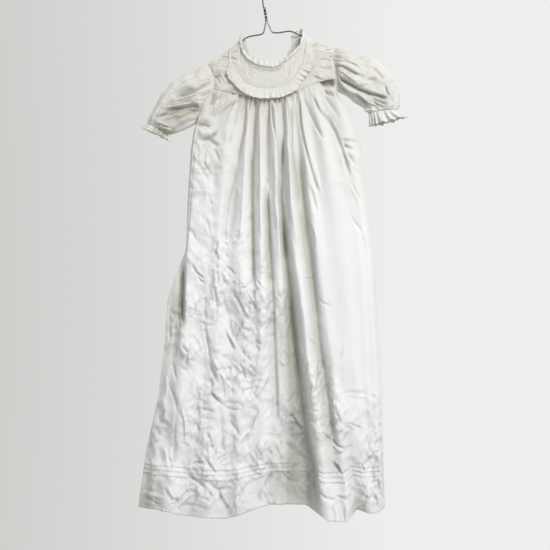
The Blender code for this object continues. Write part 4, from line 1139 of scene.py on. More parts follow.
def front_skirt():
    """Points of the creased front skirt, with how crumpled they are and the shade painted on them."""
    rows = skirt_rows(FRONT_ROWS)
    x, z, depth, part = front_skirt_points(rows, FRONT_COLUMNS)
    down, place = rows[:, None], np.arange(FRONT_COLUMNS)
    edge = soft(np.minimum(place, FRONT_COLUMNS - 1 - place) / 8.0)[None, :]
    under_frill = soft((x[:1] + 62) / 22) * soft((66 - x[:1]) / 22)
    gathers = front_gathers(part, down) * (0.12 + 0.88 * under_frill)
    hollow_and_painted_shade = hollows(depth, 26)
    pressed = creased(x, z, SKIRT_CREASES)
    pressed = pressed * np.where(pressed < 0, 1 - CALM_IN_FOLDS * hollow_and_painted_shade, 1.0)
    patch = soft(0.5 + 1.1 * rolling(x / 42.0, z / 58.0, 67))
    calm = soft(down / 0.8) * (0.8 + 0.2 * soft((HEM_ROW - down) * 3))
    crumpled = crumple_strength(x, z) * calm
    beside_frill = (1 - under_frill) * np.clip(1 - down / 0.45, 0, 1) ** 2
    level = (read(RIDGE, x[:1], 2) - 0.6 - depth[:1]) * beside_frill
    rough = front_roughness(x, z, patch) * crumpled
    depth = depth + level + edge * (gathers + FRONT_CREASING * pressed + rough)
    depth = depth + tucks_at(rows)[:, None]
    # Painted shade: darker in the hollows under the folds, in the troughs of the creases, under the tucks'
    # folds and in the listed spots
    broken = 0.75 + 0.5 * rolling(x / 26.0, z / 40.0, 61)
    dark = 0.46 * hollow_and_painted_shade + 0.46 * np.clip(-pressed / 4, 0, 1)
    dark = np.clip(dark + tuck_shade(rows)[:, None] * broken + shaded(x, z), 0, 1)
    points = with_side_seams(with_hem(joined(x, -depth, z), 1.0), -SEAM_GAP / 2)
    marks = {"crumple": crumpled * (0.45 + 0.65 * patch), "hollow_and_painted_shade": dark}
    for mark, values in marks.items():
        marks[mark] = np.pad(values, ((0, 0), (1, 1)), mode="edge")
    return tucked_under(points, 1.0), marks


def back_skirt():
    """Points of the back skirt, its slit still to be closed below: left half, right half."""
    rows = skirt_rows(BACK_ROWS)
    down = rows[:, None]
    halves = []
    for half in (-1, 1):
        table = SIDE_LEFT if half < 0 else SIDE_RIGHT
        low_end = YOKE_LOW[0][0] if half < 0 else YOKE_LOW[-1][0]
        share = np.linspace(0, 1, BACK_COLUMNS)[None, :]
        top_x = half * SLIT_HALF_WIDTH + share * (low_end - half * SLIT_HALF_WIDTH)
        top_z = read(YOKE_LOW, top_x, 1) - 2 * SEAM_GAP
        stations = [top_z] + [np.full(top_z.shape, s) for s in STATIONS + (BACK_HEM_Z,)]
        z = spline(np.array(stations)[:, 0, :], rows)
        middle = half * SLIT_HALF_WIDTH * np.where(down <= SLIT_ROW, 1.0, 0.0)
        x = blend(middle, read(table, z, 1), share)
        folds = spline(BACK_FOLD_LIFT, rows)[:, None] * np.cos(2 * math.pi * BACK_FOLDS * share + half)
        depth = spline(BACK_DEPTH, rows)[:, None] + folds
        depth = blend(depth, read(table, z, 2), soft(share * 4 - 3))
        edge = soft(share * 14) * soft((1 - share) * 14)
        fade = np.clip(1 - down / GATHER_FADE, 0, 1)
        gather = -np.cos(math.pi * share * BACK_GATHERS) * fade * GATHER_LIFT
        rough = crumple(x, z, 36.0, 71) * 2.6 + crumple(x, z, 17.0, 83) * 1.5
        rough = rough * crumple_strength(-x, z) + creased(-x, z, SKIRT_CREASES) * BACK_CREASING
        depth = depth + edge * (gather + rough * soft(down / 0.8))
        depth = depth + tucks_at(rows)[:, None]
        points = with_side_seams(with_hem(joined(x, depth + SEAM_GAP, z), -1.0), SEAM_GAP / 2)
        halves.append(tucked_under(points, -1.0))
    return halves


def yoke_points(columns, side, count, steps):
    """Points and outward directions of a yoke sheet, with the place of each column and row."""
    at = np.arange(len(columns))
    steps_along = [math.dist(a[:2], b[:2]) for a, b in zip(columns, columns[1:])]
    length = np.concatenate([[0], np.cumsum(steps_along)])
    place = np.interp(np.linspace(0, length[-1], count), length, at)
    top_x, top_z, low_x = (np.interp(place, at, [row[n] for row in columns]) for n in range(3))
    low_z = read(YOKE_LOW, low_x, 1)
    row = (np.linspace(0, 1, steps) ** 1.25)[:, None]
    z, x = blend(top_z, low_z, row), blend(top_x, low_x, row)
    for end in (0, len(columns) - 1):
        arm_x, arm_z, arm_low_x = columns[end]
        if abs(arm_x) > ARMHOLE_BEYOND:
            table = SIDE_LEFT if arm_x < 0 else SIDE_RIGHT
            arm_z = blend(arm_z, read(YOKE_LOW, arm_low_x, 1), row)
            bend = read(table, arm_z, 1) - blend(arm_x, arm_low_x, row)
            x = x + np.clip(1 - np.abs(place - end) / ARMHOLE_BEND_REACH, 0, 1) * bend
    point, out = yoke_point(x, yoke_angle(x, z, side))
    return point, out, place, row


def front_yoke():
    """Front yoke: fine tucks down its sides, a run of insertion, and three tucks round its foot."""
    columns = [row[1:] for row in YOKE_FRONT]
    point, out, place, row = yoke_points(columns, 1, 250, 84)
    x, z = point[..., 0], point[..., 2]
    foot = foot_distance(x, z)
    upright = soft((foot - 9.0) / 2.0) * soft(row * 12)
    lift = 0.0 * x
    for low, high, pitch in YOKE_TUCKS:
        within = (x - low) / pitch
        crest = np.clip(1 - np.abs(within % 1.0 - 0.5) * 3.4, 0, 1)
        lift = lift + YOKE_TUCK_LIFT * crest * ((x > low) & (x < high))
    for low, high in YOKE_LADDERS:
        inside = (x > low) & (x < high)
        rungs = np.clip(1 - np.abs((z / RUNG_PITCH) % 1.0 - 0.5) * 4.5, 0, 1)
        to_edge = np.minimum(np.abs(x - low), np.abs(x - high))
        rails = np.clip(1 - np.minimum(to_edge, np.abs(x - (low + high) / 2)), 0, 1)
        lift = lift + np.where(inside, YOKE_TUCK_LIFT * (np.maximum(rungs, rails) - 1.0), 0.0)
    lift = lift * upright
    for k in range(FOOT_TUCK_COUNT):
        near = foot - (FOOT_TUCK_FIRST + FOOT_TUCK_PITCH * k)
        slope, fold = np.clip(1 - near / 2.4, 0, 1), np.clip(1 + near / 0.5, 0, 1)
        lift = lift + YOKE_TUCK_LIFT * np.where(near > 0, slope, fold)
    lift = lift * soft((x + 60) / 8) * soft((72 - x) / 8)
    pressed = creased(x, z, YOKE_CREASES)
    lift = lift + YOKE_CREASING * pressed + rolled_in(row, np.minimum(place, place[-1] - place))
    lift = lift + 0.25 * rolling(x / 9.0, z / 7.0, 3) + 0.4 * rolling(x / 24.0, z / 20.0, 4)
    # Painted shade: the neck frill's shadow along the neck edge, the troughs of the creases and the listed
    # spots
    painted_neck_shadow = np.exp(-((row / 0.085) ** 2)) * soft((x + 52) / 10) * soft((34 - x) / 14)
    hollow_and_painted_shade = np.clip(painted_neck_shadow + 0.4 * np.clip(-pressed, 0, 1) + shaded(x, z), 0, 1)
    crumpled = 0.2 + 0.6 * soft((np.abs(x - 4) - 62) / 20)
    return point + out * (lift * soft(row * 8))[..., None], {"crumple": crumpled, "hollow_and_painted_shade": hollow_and_painted_shade}


def rolled_in(row, from_arm):
    """Fall of a yoke's lower edge and of its armhole edge."""
    return -YOKE_ROLL * soft((row - 0.95) / 0.05) - ARM_ROLL * soft(1 - from_arm / 0.16)


def foot_distance(x, z):
    """Distance inside the seam of the round yoke, about."""
    seam = np.array([(a, b) for a, b, _, _, side in YOKE_FRILL if side > 0])
    nearest = np.full(x.shape, 1e9)
    for (ax, az), (bx, bz) in zip(seam, seam[1:]):
        dx, dz = bx - ax, bz - az
        share = np.clip(((x - ax) * dx + (z - az) * dz) / (dx * dx + dz * dz), 0, 1)
        away = np.hypot(x - ax - share * dx, z - az - share * dz)
        inside = (z - az) * dx - (x - ax) * dz
        nearest = np.where(away < np.abs(nearest), np.where(inside > 0, away, -away), nearest)
    return nearest


def back_yoke(columns, seed):
    """One half of the back yoke, plain with soft creases."""
    point, out, place, row = yoke_points(columns, -1, 90, 60)
    x, z = point[..., 0], point[..., 2]
    lift = 0.9 * rolling(x / 16.0, z / 14.0, seed) + 0.5 * rolling(x / 7.0, z / 7.0, seed + 1)
    from_arm = place if abs(columns[0][0]) > ARMHOLE_BEYOND else place[-1] - place
    lift = lift + rolled_in(row, from_arm)
    return point + out * (lift * soft(row * 8))[..., None]


def yoke_frill():
    """Gathered frill round the yoke from back opening to back opening."""
    seam_x = [row[0] for row in YOKE_FRILL]
    edge_x = [row[2] for row in YOKE_FRILL]
    seam_turn = [float(yoke_angle(x, z, side)) if side else 0.0 for x, z, _, _, side in YOKE_FRILL]
    edge_turn = [float(yoke_angle(x, z, side)) if side else 0.0 for _, _, x, z, side in YOKE_FRILL]
    parts = 2 * YOKE_FRILL_WAVES
    part = np.linspace(0, parts, parts * STEPS_PER_WAVE + 1)[None, :]
    place = part * (len(seam_x) - 1) / parts
    share = np.linspace(0, 1, 15)[:, None]
    uneven = rolling(part * 0.23, part * 0 + 0.5, 9)
    narrow = 1 - 0.75 * soft((place - 2.0) / 1.2) * soft((5.9 - place) / 0.9)
    narrow = narrow - 0.7 * soft((place - 16.9) / 0.9) * soft((20.0 - place) / 1.4)
    ragged = 0.09 * rolling(part * 0.6, part * 0 + 0.3, 12) + 0.05 * rolling(part * 1.7, part * 0 + 0.8, 13)
    longer = share * narrow * (1 + ragged)
    x = blend(spline(seam_x, place), spline(edge_x, place), longer)
    turn = blend(spline(seam_turn, place), spline(edge_turn, place), longer)
    point, out = yoke_point(x, turn)
    drift = 1.1 * rolling(part * 0.31, share * 0.7 + 0 * part, 14)
    height = 1.5 * np.clip(0.4 + 1.3 * uneven + 0.5 * rolling(part * 0.7, part * 0 + 0.6, 17), 0.05, 1.3)
    wave = -np.cos(math.pi * part + 3.6 * drift) * height * share**1.5
    fine = -np.cos(2 * math.pi * part + 3 * drift) * 0.35 * np.clip(1 - share * 1.6, 0, 1) * soft(share * 8)
    lift = 0.3 + 0.6 * narrow + 4.2 * share * narrow**2 + wave * narrow + fine
    lift = lift + 0.5 * rolling(part * 0.5, share * 3 + 0 * part, 19) * share
    return point + out * lift[..., None]


def neck_frill():
    """Narrow frill standing on the neck edge from back opening to back opening."""
    base, leans = [], []
    for first, second in zip(NECK_FRILL, NECK_FRILL[1:]):
        side = first[2] or second[2]
        parts = max(1, round(math.dist(first[:2], second[:2]) / NECK_FRILL_STEP))
        for k in range(parts + (second is NECK_FRILL[-1])):
            x, z, _, height, lean_x, lean_front = (blend(a, b, k / parts) for a, b in zip(first, second))
            on_ridge = first[2] == 0 and k == 0
            point, _ = yoke_point(np.float64(x), np.float64(0.0) if on_ridge else yoke_angle(x, z, side))
            if on_ridge:
                point[1] = 0.0
            base.append(point)
            fallen = 0.1 if side > 0 and x < 32 else 1.3
            leans.append(unit(np.array((lean_x * fallen, -lean_front * fallen, 1.0))) * height * 1.12)
    steps = len(base) - 1
    part = np.linspace(0, steps, steps * STEPS_PER_WAVE + 1)
    point, lean = spline(base, part), spline(leans, part)
    ahead = np.gradient(point, axis=0)
    out = unit(np.cross(lean, ahead))
    clear = unit(joined(NECK_MIDDLE[0] - point[:, 0], 0 * part, NECK_MIDDLE[1] - point[:, 2]))
    share = np.linspace(0, 1, 12)[:, None, None]
    uneven = rolling(part * 0.4, part * 0 + 0.5, 31)[:, None]
    drift = 1.6 * rolling(part * 0.37, part * 0 + 0.7, 33)[:, None]
    wave = -np.cos(math.pi * part[:, None] + drift) * 1.3 * np.clip(0.6 + uneven, 0.1, 1.4) * share
    droop = 1.6 * rolling(part * 0.3, part * 0 + 0.5, 37)[:, None] * share**2
    front = soft((0.5 - point[:, 1]) / 4.0)[:, None]
    droop = droop + front * (3.2 * share**2 - 3.6 * soft(share * 3.0))
    reach = share * (0.95 + 0.16 * rolling(part * 0.55, part * 0 + 0.2, 35)[:, None])
    middle = FRILL_WALL / 2
    return point + lean * reach + out * (wave + droop + 0.3) + clear * (2 * SEAM_GAP + middle)


def section(turn, top_x, top_z, low_x, low_z, deep, bow=0.0):
    """Points round one section of a sleeve or cuff, and their outward directions."""
    top, low = np.array((top_x, 0, top_z)), np.array((low_x, 0, low_z))
    up = (top - low) / 2
    tall = np.linalg.norm(up)
    c, s = np.cos(turn)[:, None], np.sin(turn)[:, None]
    front = np.array((0, -1.0, 0))
    points = (top + low) / 2 + up * c + front * deep * s + np.array((bow, 0, 0)) * s**2
    return points, unit(up / tall * c / tall + front * s / deep)


def sleeve_rings(side_table, underarm, shift, rings, count):
    """Turns, points and outward directions round the armhole and each listed section of a sleeve."""
    turn = np.arange(count) * 2 * math.pi / count
    top_z = side_table[0][0]
    z = blend(top_z, underarm, (1 - np.cos(turn)) / 2)
    x = read(side_table, z, 1)
    on_yoke = -yoke_point(x, yoke_angle(x, z, 1))[0][:, 1]
    depth = np.where(z > read(YOKE_LOW, x, 1), on_yoke, read(side_table, z, 2))
    depth = np.where(np.abs(np.sin(turn)) < 1e-6, 0.0, depth)
    height = (top_z - underarm) / 2
    points = [joined(x + shift, -np.sign(np.sin(turn)) * depth, z)]
    outs = [unit(joined(0 * turn, -np.sin(turn) / 9.0, np.cos(turn) / height))]
    for *corners, deep, _, bow in rings:
        ring, way = section(turn, *corners, deep, bow)
        points.append(ring)
        outs.append(way)
    return turn, points, outs


def sleeve(side_table, underarm, shift, rings, seed):
    """Puffed sleeve with gathers at both ends and long soft folds between."""
    turn, points, outs = sleeve_rings(side_table, underarm, shift, rings, 208)
    place = np.linspace(0, len(rings), 104)
    point, out = spline(points, place), unit(spline(outs, place))
    gathers = spline([0.0] + [row[5] for row in rings], place)[:, None]
    share = (place / len(rings))[:, None]
    x, z = point[..., 0], point[..., 2]
    round_place = turn[None, :] * 3.2
    sway = 0.9 * rolling(round_place, share * 3, seed)
    uneven = 0.62 + 0.3 * rolling(round_place * 1.7, share * 2, seed + 1)
    wave = np.cos(SLEEVE_GATHERS * turn[None, :] + sway) * uneven
    ends = np.clip(1 - share * 3.2, 0, 1) + np.clip((share - 0.72) * 3.5, 0, 1)
    fine = np.cos(2 * SLEEVE_GATHERS * turn[None, :] + 1.5 * sway) * 0.55 * ends
    lift = gathers * wave + fine * soft(share * 14)
    rough = faceted(x + 0.4 * point[..., 1], z, 21.0, 30.0, 0.3, seed + 2) * 1.9
    rough = rough + crumple(x, z + point[..., 1], 12.0, seed + 3) * 0.8
    front = soft(0.5 - point[..., 1] / 8.0)
    pressed = creased(x, z, SLEEVE_CREASES, SLEEVE_DEPTH) * (0.5 + 0.95 * front)
    lift = lift * 0.75 + pressed + rough * soft(share * 5) * soft((1 - share) * 9) * 0.85
    lift = lift * soft(share * 16)
    points = point + out * lift[..., None]
    tuck = (1 - soft(share * 26))[..., None]
    points = points + tuck * (-out * 1.5 - np.sign(shift) * np.array((3.0, 0.0, 0.0)))
    # Painted shade in the troughs of the creases and in the listed spots on the front
    hollow_and_painted_shade = 0.7 * np.clip(-pressed / 5, 0, 1) + shaded(x, z) * front
    return points, {"crumple": 0.8 * soft(share * 6), "hollow_and_painted_shade": np.clip(hollow_and_painted_shade, 0, 1)}


def cuff_frill(rings, seed):
    """Pleated frill round a cuff."""
    count = 2 * CUFF_WAVES * STEPS_PER_WAVE
    turn = np.arange(count) * 2 * math.pi / count
    points, outs = zip(*(section(turn, *row[:5]) for row in rings))
    place = np.linspace(0, len(rings) - 1, 20)
    point, out = spline(points, place), unit(spline(outs, place))
    waves = spline([row[5] for row in rings], place)[:, None]
    closer = turn - 0.35 * np.sin(turn)
    u, v = 4.0 + np.cos(turn)[None, :], 4.0 + np.sin(turn)[None, :] + 0.12 * place[:, None]
    uneven, height = rolling(1.9 * u, 1.9 * v, seed), 1 + 0.9 * rolling(2.7 * u, 2.7 * v, seed + 1)
    wave = -np.cos(CUFF_WAVES * closer[None, :] + 2.6 * uneven) * waves * np.clip(height, 0.3, 1.7)
    ahead = (points[-1] - points[0])[None, :, :] * (place[:, None, None] / (len(rings) - 1)) ** 2
    longer = 0.2 * rolling(4.1 * u, 4.1 * v, seed + 2) - 0.04
    point = point + ahead * longer[..., None] + out * wave[..., None]
    # Painted shade from the listed spots on the front
    hollow_and_painted_shade = shaded(point[..., 0], point[..., 2]) * soft(0.5 - point[..., 1] / 4.0)
    return point, {"crumple": 0.5, "hollow_and_painted_shade": hollow_and_painted_shade}


# Materials


class Value:
    """A number socket of a material, with arithmetic that adds Math nodes."""

    def __init__(self, drawing, socket):
        self.drawing, self.socket = drawing, socket

    def math(self, operation, *others):
        inputs = dict(enumerate((self, *others)))
        return self.drawing.node("ShaderNodeMath", {"operation": operation}, inputs)

    def __add__(self, other):
        return self.math("ADD", other)

    __radd__ = __add__

    def __sub__(self, other):
        return self.math("SUBTRACT", other)

    def __rsub__(self, other):
        return (self * -1.0) + other

    def __mul__(self, other):
        return self.math("MULTIPLY", other)

    __rmul__ = __mul__

    def __truediv__(self, other):
        return self.math("DIVIDE", other)

    def __rtruediv__(self, other):
        return self.math("POWER", -1.0) * other

    def held(self):
        """The value kept between 0 and 1."""
        return self.math("MAXIMUM", 0.0).math("MINIMUM", 1.0)


class Drawing:
    """A material being drawn on one Principled shader."""

    def __init__(self, name, **constants):
        self.material = bpy.data.materials.new(name)
        self.material.use_nodes = True
        self.tree = self.material.node_tree
        self.shader = self.tree.nodes["Principled BSDF"]
        for key, value in constants.items():
            self.shader.inputs[key.replace("_", " ")].default_value = value

    def put(self, socket, value):
        if isinstance(value, Value):
            self.tree.links.new(value.socket, socket)
        elif value is not None:
            socket.default_value = value

    def node(self, kind, settings=None, inputs=None, output=0):
        made_node = self.tree.nodes.new(kind)
        for key, value in (settings or {}).items():
            setattr(made_node, key, value)
        for key, value in (inputs or {}).items():
            self.put(made_node.inputs[key], value)
        return Value(self, made_node.outputs[output])

    def split(self, vector):
        """The three numbers of a vector."""
        parts = self.tree.nodes.new("ShaderNodeSeparateXYZ")
        self.put(parts.inputs[0], vector)
        return [Value(self, socket) for socket in parts.outputs]

    def facets(self, place, scale, turn, slope):
        """Height in metres of small flat patches that meet in sharp creases, slanted by a turn."""
        bend = self.node("ShaderNodeTexNoise", None,
                         {"Vector": place, "Scale": scale * 0.5, "Detail": 2.0}, output=1)
        bend = self.node("ShaderNodeVectorMath", {"operation": "SCALE"}, {0: bend, "Scale": 0.5 / scale})
        moved = self.node("ShaderNodeVectorMath", {"operation": "ADD"}, {0: place, 1: bend})
        turned = self.node("ShaderNodeMapping", None, {"Vector": moved, "Rotation": (0.0, turn, 0.0)})
        drawn = self.node("ShaderNodeVectorMath", {"operation": "MULTIPLY"},
                          {0: turned, 1: (scale, scale, scale * 0.45)})
        cells = self.node("ShaderNodeTexVoronoi", None, {"Vector": drawn, "Scale": 1.0})
        return cells * (slope / scale)

    def mixed(self, share, first, second):
        """Colour between two, by a share."""
        mix = self.tree.nodes.new("ShaderNodeMix")
        mix.data_type = "RGBA"
        self.put(mix.inputs[0], share)
        self.put(mix.inputs[6], first)
        self.put(mix.inputs[7], second)
        return Value(self, mix.outputs[2])

    def feed(self, name, value):
        self.put(self.shader.inputs[name], value)

    def noise(self, vector, scale, detail=2.0, roughness=0.5):
        return self.node("ShaderNodeTexNoise", None,
                         {"Vector": vector, "Scale": scale, "Detail": detail, "Roughness": roughness})


def cotton(name, creases=1.0):
    """White plain-woven cotton: fine creases, slight slubs, painted shade, darker and warmer, in its
    hollows, and darker and warmer towards the top.
    """
    sizes = bpy.context.scene.gown
    drawing = Drawing(name, Roughness=0.86, Sheen_Weight=0.1, Sheen_Roughness=0.5, Specular_IOR_Level=0.2)
    place = drawing.node("ShaderNodeTexCoord", output=3)
    flat = drawing.node("ShaderNodeTexCoord", output=2)
    crumpled = drawing.node("ShaderNodeAttribute", {"attribute_name": "crumple"}, output=2) * creases
    hollow_and_painted_shade = drawing.node("ShaderNodeAttribute", {"attribute_name": "hollow_and_painted_shade"}, output=2)
    across, down, _ = drawing.split(flat)
    weave = 2 * math.pi / THREAD_SPACING
    threads = (across * weave).math("SINE") * (down * weave).math("SINE")
    slubs = drawing.noise(flat, 900.0, 2.0)
    broad = drawing.noise(place, 7.0, 3.0)
    small = drawing.noise(place, 55.0, 4.0, 0.6)
    height = drawing.split(place)[2]
    # Darker and warmer towards the top of the gown, and drifting at random
    raised = (height + 0.42) * 4.0
    warmth = (raised.held() * 0.8 + (broad * 0.6 + small * 0.4 + slubs * 0.1 - 0.5)).held()
    colours = (sizes.cloth_colour, sizes.cloth_shade, sizes.cloth_painted_shade, sizes.cloth_painted_shade_low)
    light, warm, deep, deep_low = ((*colour, 1.0) for colour in colours)
    cloth = drawing.mixed(warmth, light, warm)
    # Painted shade: where the hollows are marked, the colour turns to a darker, warmer one, more yellow high
    # up
    yellow = ((height + 0.75) * 3.3).held() - ((height + 0.30) * 12.0).held() * 0.55
    deep = drawing.mixed(yellow, deep_low, deep)
    drawing.feed("Base Color", drawing.mixed(hollow_and_painted_shade, cloth, deep))
    drawing.feed("Roughness", small * 0.12 + 0.8)
    patchy = ((drawing.noise(place, 16.0, 2.0) - 0.36) * 3.2).held()
    folds = drawing.facets(place, 30.0, 0.6, 0.34) - drawing.facets(place, 57.0, 0.95, 0.32)
    folds = folds * patchy * 1.2 + drawing.facets(place, 100.0, -0.7, 0.42)
    soft_folds = (drawing.noise(place, 120.0, 4.0, 0.6) * 2.0 - 1.0).math("ABSOLUTE") * -0.0008
    soft_folds = (small * 0.0007 + soft_folds) * (crumpled * 0.8 + 0.35)
    relief = threads * THREAD_HEIGHT + slubs * SLUB_HEIGHT + soft_folds + folds * crumpled
    bump = drawing.node("ShaderNodeBump", None, {"Strength": 0.8, "Distance": 1.0, "Height": relief})
    drawing.feed("Normal", bump)
    return drawing.material


def wire_metal():
    """Drawn steel wire, dull and faintly streaked along its length with darker spots."""
    sizes = bpy.context.scene.gown
    drawing = Drawing("hanger_wire", Metallic=1.0, Roughness=0.42)
    place = drawing.node("ShaderNodeTexCoord", output=3)
    spots = drawing.noise(place, 260.0, 4.0, 0.6)
    streaks = drawing.noise(place, 900.0, 2.0)
    dark = tuple(c * 0.55 for c in sizes.wire_colour) + (1.0,)
    light = tuple(sizes.wire_colour) + (1.0,)
    drawing.feed("Base Color", drawing.mixed(spots, light, dark))
    drawing.feed("Roughness", streaks * 0.3 + 0.28)
    bump = drawing.node("ShaderNodeBump", None,
                        {"Strength": 0.3, "Distance": 1.0, "Height": streaks * 0.0001})
    drawing.feed("Normal", bump)
    return drawing.material


# Sizes that a user may change


class GownSizes(bpy.types.PropertyGroup):
    """Sizes and colours of the gown."""

    cloth_thickness: FloatProperty(
        name="Cloth thickness", description="Thickness of the cotton sheets", default=0.0006,
        min=0.0002, max=0.002, unit="LENGTH", precision=4)
    cloth_colour: FloatVectorProperty(
        name="Cloth colour", description="Colour of the cotton", subtype="COLOR", size=3,
        default=(0.75, 0.75, 0.755), min=0.0, max=1.0)
    # Darker, warmer colour the cotton takes towards the top of the gown
    cloth_shade: FloatVectorProperty(
        name="Cloth shade", description="Warmer colour that the cotton drifts to", subtype="COLOR", size=3,
        default=(0.60, 0.588, 0.53), min=0.0, max=1.0)
    # Colours of the shade painted in the cotton's hollows, high up and in the lower half of the skirt
    cloth_painted_shade: FloatVectorProperty(
        name="Cloth hollow", description="Darker colour of the cotton deep in its folds", subtype="COLOR",
        size=3, default=(0.42, 0.41, 0.325), min=0.0, max=1.0)
    cloth_painted_shade_low: FloatVectorProperty(
        name="Cloth hollow, low", description="The same in the lower half of the skirt", subtype="COLOR",
        size=3, default=(0.41, 0.407, 0.375), min=0.0, max=1.0)
    wire_colour: FloatVectorProperty(
        name="Wire colour", description="Colour of the hanger's steel", subtype="COLOR", size=3,
        default=(0.20, 0.195, 0.19), min=0.0, max=1.0)


class StageSizes(bpy.types.PropertyGroup):
    """Light and camera of the studio."""

    surround: FloatVectorProperty(
        name="Surround", description="Colour of the pale surround on the right", subtype="COLOR", size=3,
        default=(0.86, 0.86, 0.855), min=0.0, max=2.0)
    surround_left: FloatVectorProperty(
        name="Surround left", description="Colour of the pale surround on the left", subtype="COLOR", size=3,
        default=(0.62, 0.615, 0.60), min=0.0, max=2.0)
    front_low: FloatProperty(
        name="Front light low", description="Brightness of the surround in front, low down",
        default=0.45, min=0.0)
    front_high: FloatProperty(
        name="Front light high", description="Brightness of the surround in front, high up",
        default=0.62, min=0.0)
    key_power: FloatProperty(
        name="Key light", description="Power of the soft light at the upper right", default=70.0, min=0.0,
        unit="POWER")
    back_power: FloatProperty(
        name="Back light", description="Power of the soft light behind the gown", default=45.0, min=0.0,
        unit="POWER")
    camera_distance: FloatProperty(
        name="Camera distance", description="From the gown to the camera", default=1.3, min=0.3,
        unit="LENGTH")
    view_width: FloatProperty(
        name="View width", description="Width seen at the gown", default=0.88, min=0.1, unit="LENGTH")
    floor_height: FloatProperty(
        name="Floor height", description="Height of the floor", default=-1.6, max=-1.0, unit="LENGTH")


# Operators


class GOWN_OT_hanger(bpy.types.Operator):
    """Give the wire hanger its drawn steel"""

    bl_idname = "gown.hanger"
    bl_label = "Hanger"

    def execute(self, context):
        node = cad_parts["hanger"]
        metal = wire_metal()
        for place in node.material_slots:
            place.material = metal
        return {"FINISHED"}


class GOWN_OT_skirt(bpy.types.Operator):
    """Hang the gathered front and back of the skirt"""

    bl_idname = "gown.skirt"
    bl_label = "Skirt"

    def execute(self, context):
        cloth = cotton("skirt_cotton")
        points, marks = front_skirt()
        front = made("gown_skirt_front", points, SKIRT_FRONT_FLAT, facing=(0, -1, 0), marks=marks)
        hung(front, "skirt_front", cloth, turned=True)
        left, right = back_skirt()
        marks = {"crumple": 0.5, "hollow_and_painted_shade": 0.0}
        halves = [made("gown_skirt_back", left, SKIRT_BACK_HALF, facing=(0, 1, 0), marks=marks),
                  made("back_half", right, SKIRT_BACK_HALF, facing=(0, 1, 0), marks=marks)]
        bpy.ops.object.select_all(action="DESELECT")
        for piece in halves:
            piece.select_set(True)
        context.view_layer.objects.active = halves[0]
        bpy.ops.object.join()
        back = halves[0]
        bpy.ops.object.mode_set(mode="EDIT")
        bpy.ops.mesh.select_all(action="SELECT")
        bpy.ops.mesh.remove_doubles(threshold=0.00002)
        bpy.ops.object.mode_set(mode="OBJECT")
        hung(back, "skirt_back", cloth, turned=True)
        return {"FINISHED"}


class GOWN_OT_yokes(bpy.types.Operator):
    """Lay the tucked front yoke and the two plain back yokes over the wire"""

    bl_idname = "gown.yokes"
    bl_label = "Yokes"

    def execute(self, context):
        points, marks = front_yoke()
        front = made("gown_yoke_front", points, YOKE_FRONT_FLAT, facing=(0, -1, 0), marks=marks)
        hung(front, "yoke_front", cotton("yoke_cotton"))
        plain = cotton("back_yoke_cotton")
        for name, node, columns, seed, area in (
            ("gown_yoke_back_left", "yoke_back_left", YOKE_BACK_LEFT, 51, YOKE_BACK_LEFT_AREA),
            ("gown_yoke_back_right", "yoke_back_right", YOKE_BACK_RIGHT, 57, YOKE_BACK_RIGHT_AREA),
        ):
            points = back_yoke(columns, seed)
            half = made(name, points, YOKE_BACK_FLAT, facing=(0, 1, 0), marks={"crumple": 0.4})
            hung(half, node, plain)
        return {"FINISHED"}


class GOWN_OT_frills(bpy.types.Operator):
    """Gather the frills of the neck and of the yoke"""

    bl_idname = "gown.frills"
    bl_label = "Frills"

    def execute(self, context):
        lawn = cotton("frill_cotton")
        yoke = made("gown_yoke_frill", yoke_frill(), YOKE_FRILL_FLAT, marks={"crumple": 0.3})
        hung(yoke, "yoke_frill", lawn)
        neck = made("gown_neck_frill", neck_frill(), NECK_FRILL_FLAT, marks={"crumple": 0.3})
        hung(neck, "neck_frill", lawn)
        return {"FINISHED"}


class GOWN_OT_sleeves(bpy.types.Operator):
    """Set the puffed sleeves and their pleated cuffs"""

    bl_idname = "gown.sleeves"
    bl_label = "Sleeves"

    def execute(self, context):
        cloth = cotton("sleeve_cotton", creases=0.9)
        pleated = cotton("cuff_cotton")
        for side, table, underarm, shift, rings, cuff, flat, seed in (
            ("left", SIDE_LEFT, UNDERARM_LEFT, -ARMHOLE_GAP,
             SLEEVE_LEFT, CUFF_LEFT, CUFF_LEFT_FLAT, 101),
            ("right", SIDE_RIGHT, UNDERARM_RIGHT, ARMHOLE_GAP,
             SLEEVE_RIGHT, CUFF_RIGHT, CUFF_RIGHT_FLAT, 131),
        ):
            points, marks = sleeve(table, underarm, shift, rings, seed)
            puff = made("gown_sleeve_" + side, points, SLEEVE_FLAT, ring=True, marks=marks)
            hung(puff, "sleeve_" + side, cloth)
            points, marks = cuff_frill(cuff, seed + 9)
            frill = made("gown_cuff_" + side, points, flat, ring=True, marks=marks)
            hung(frill, "cuff_frill_" + side, pleated)
        return {"FINISHED"}


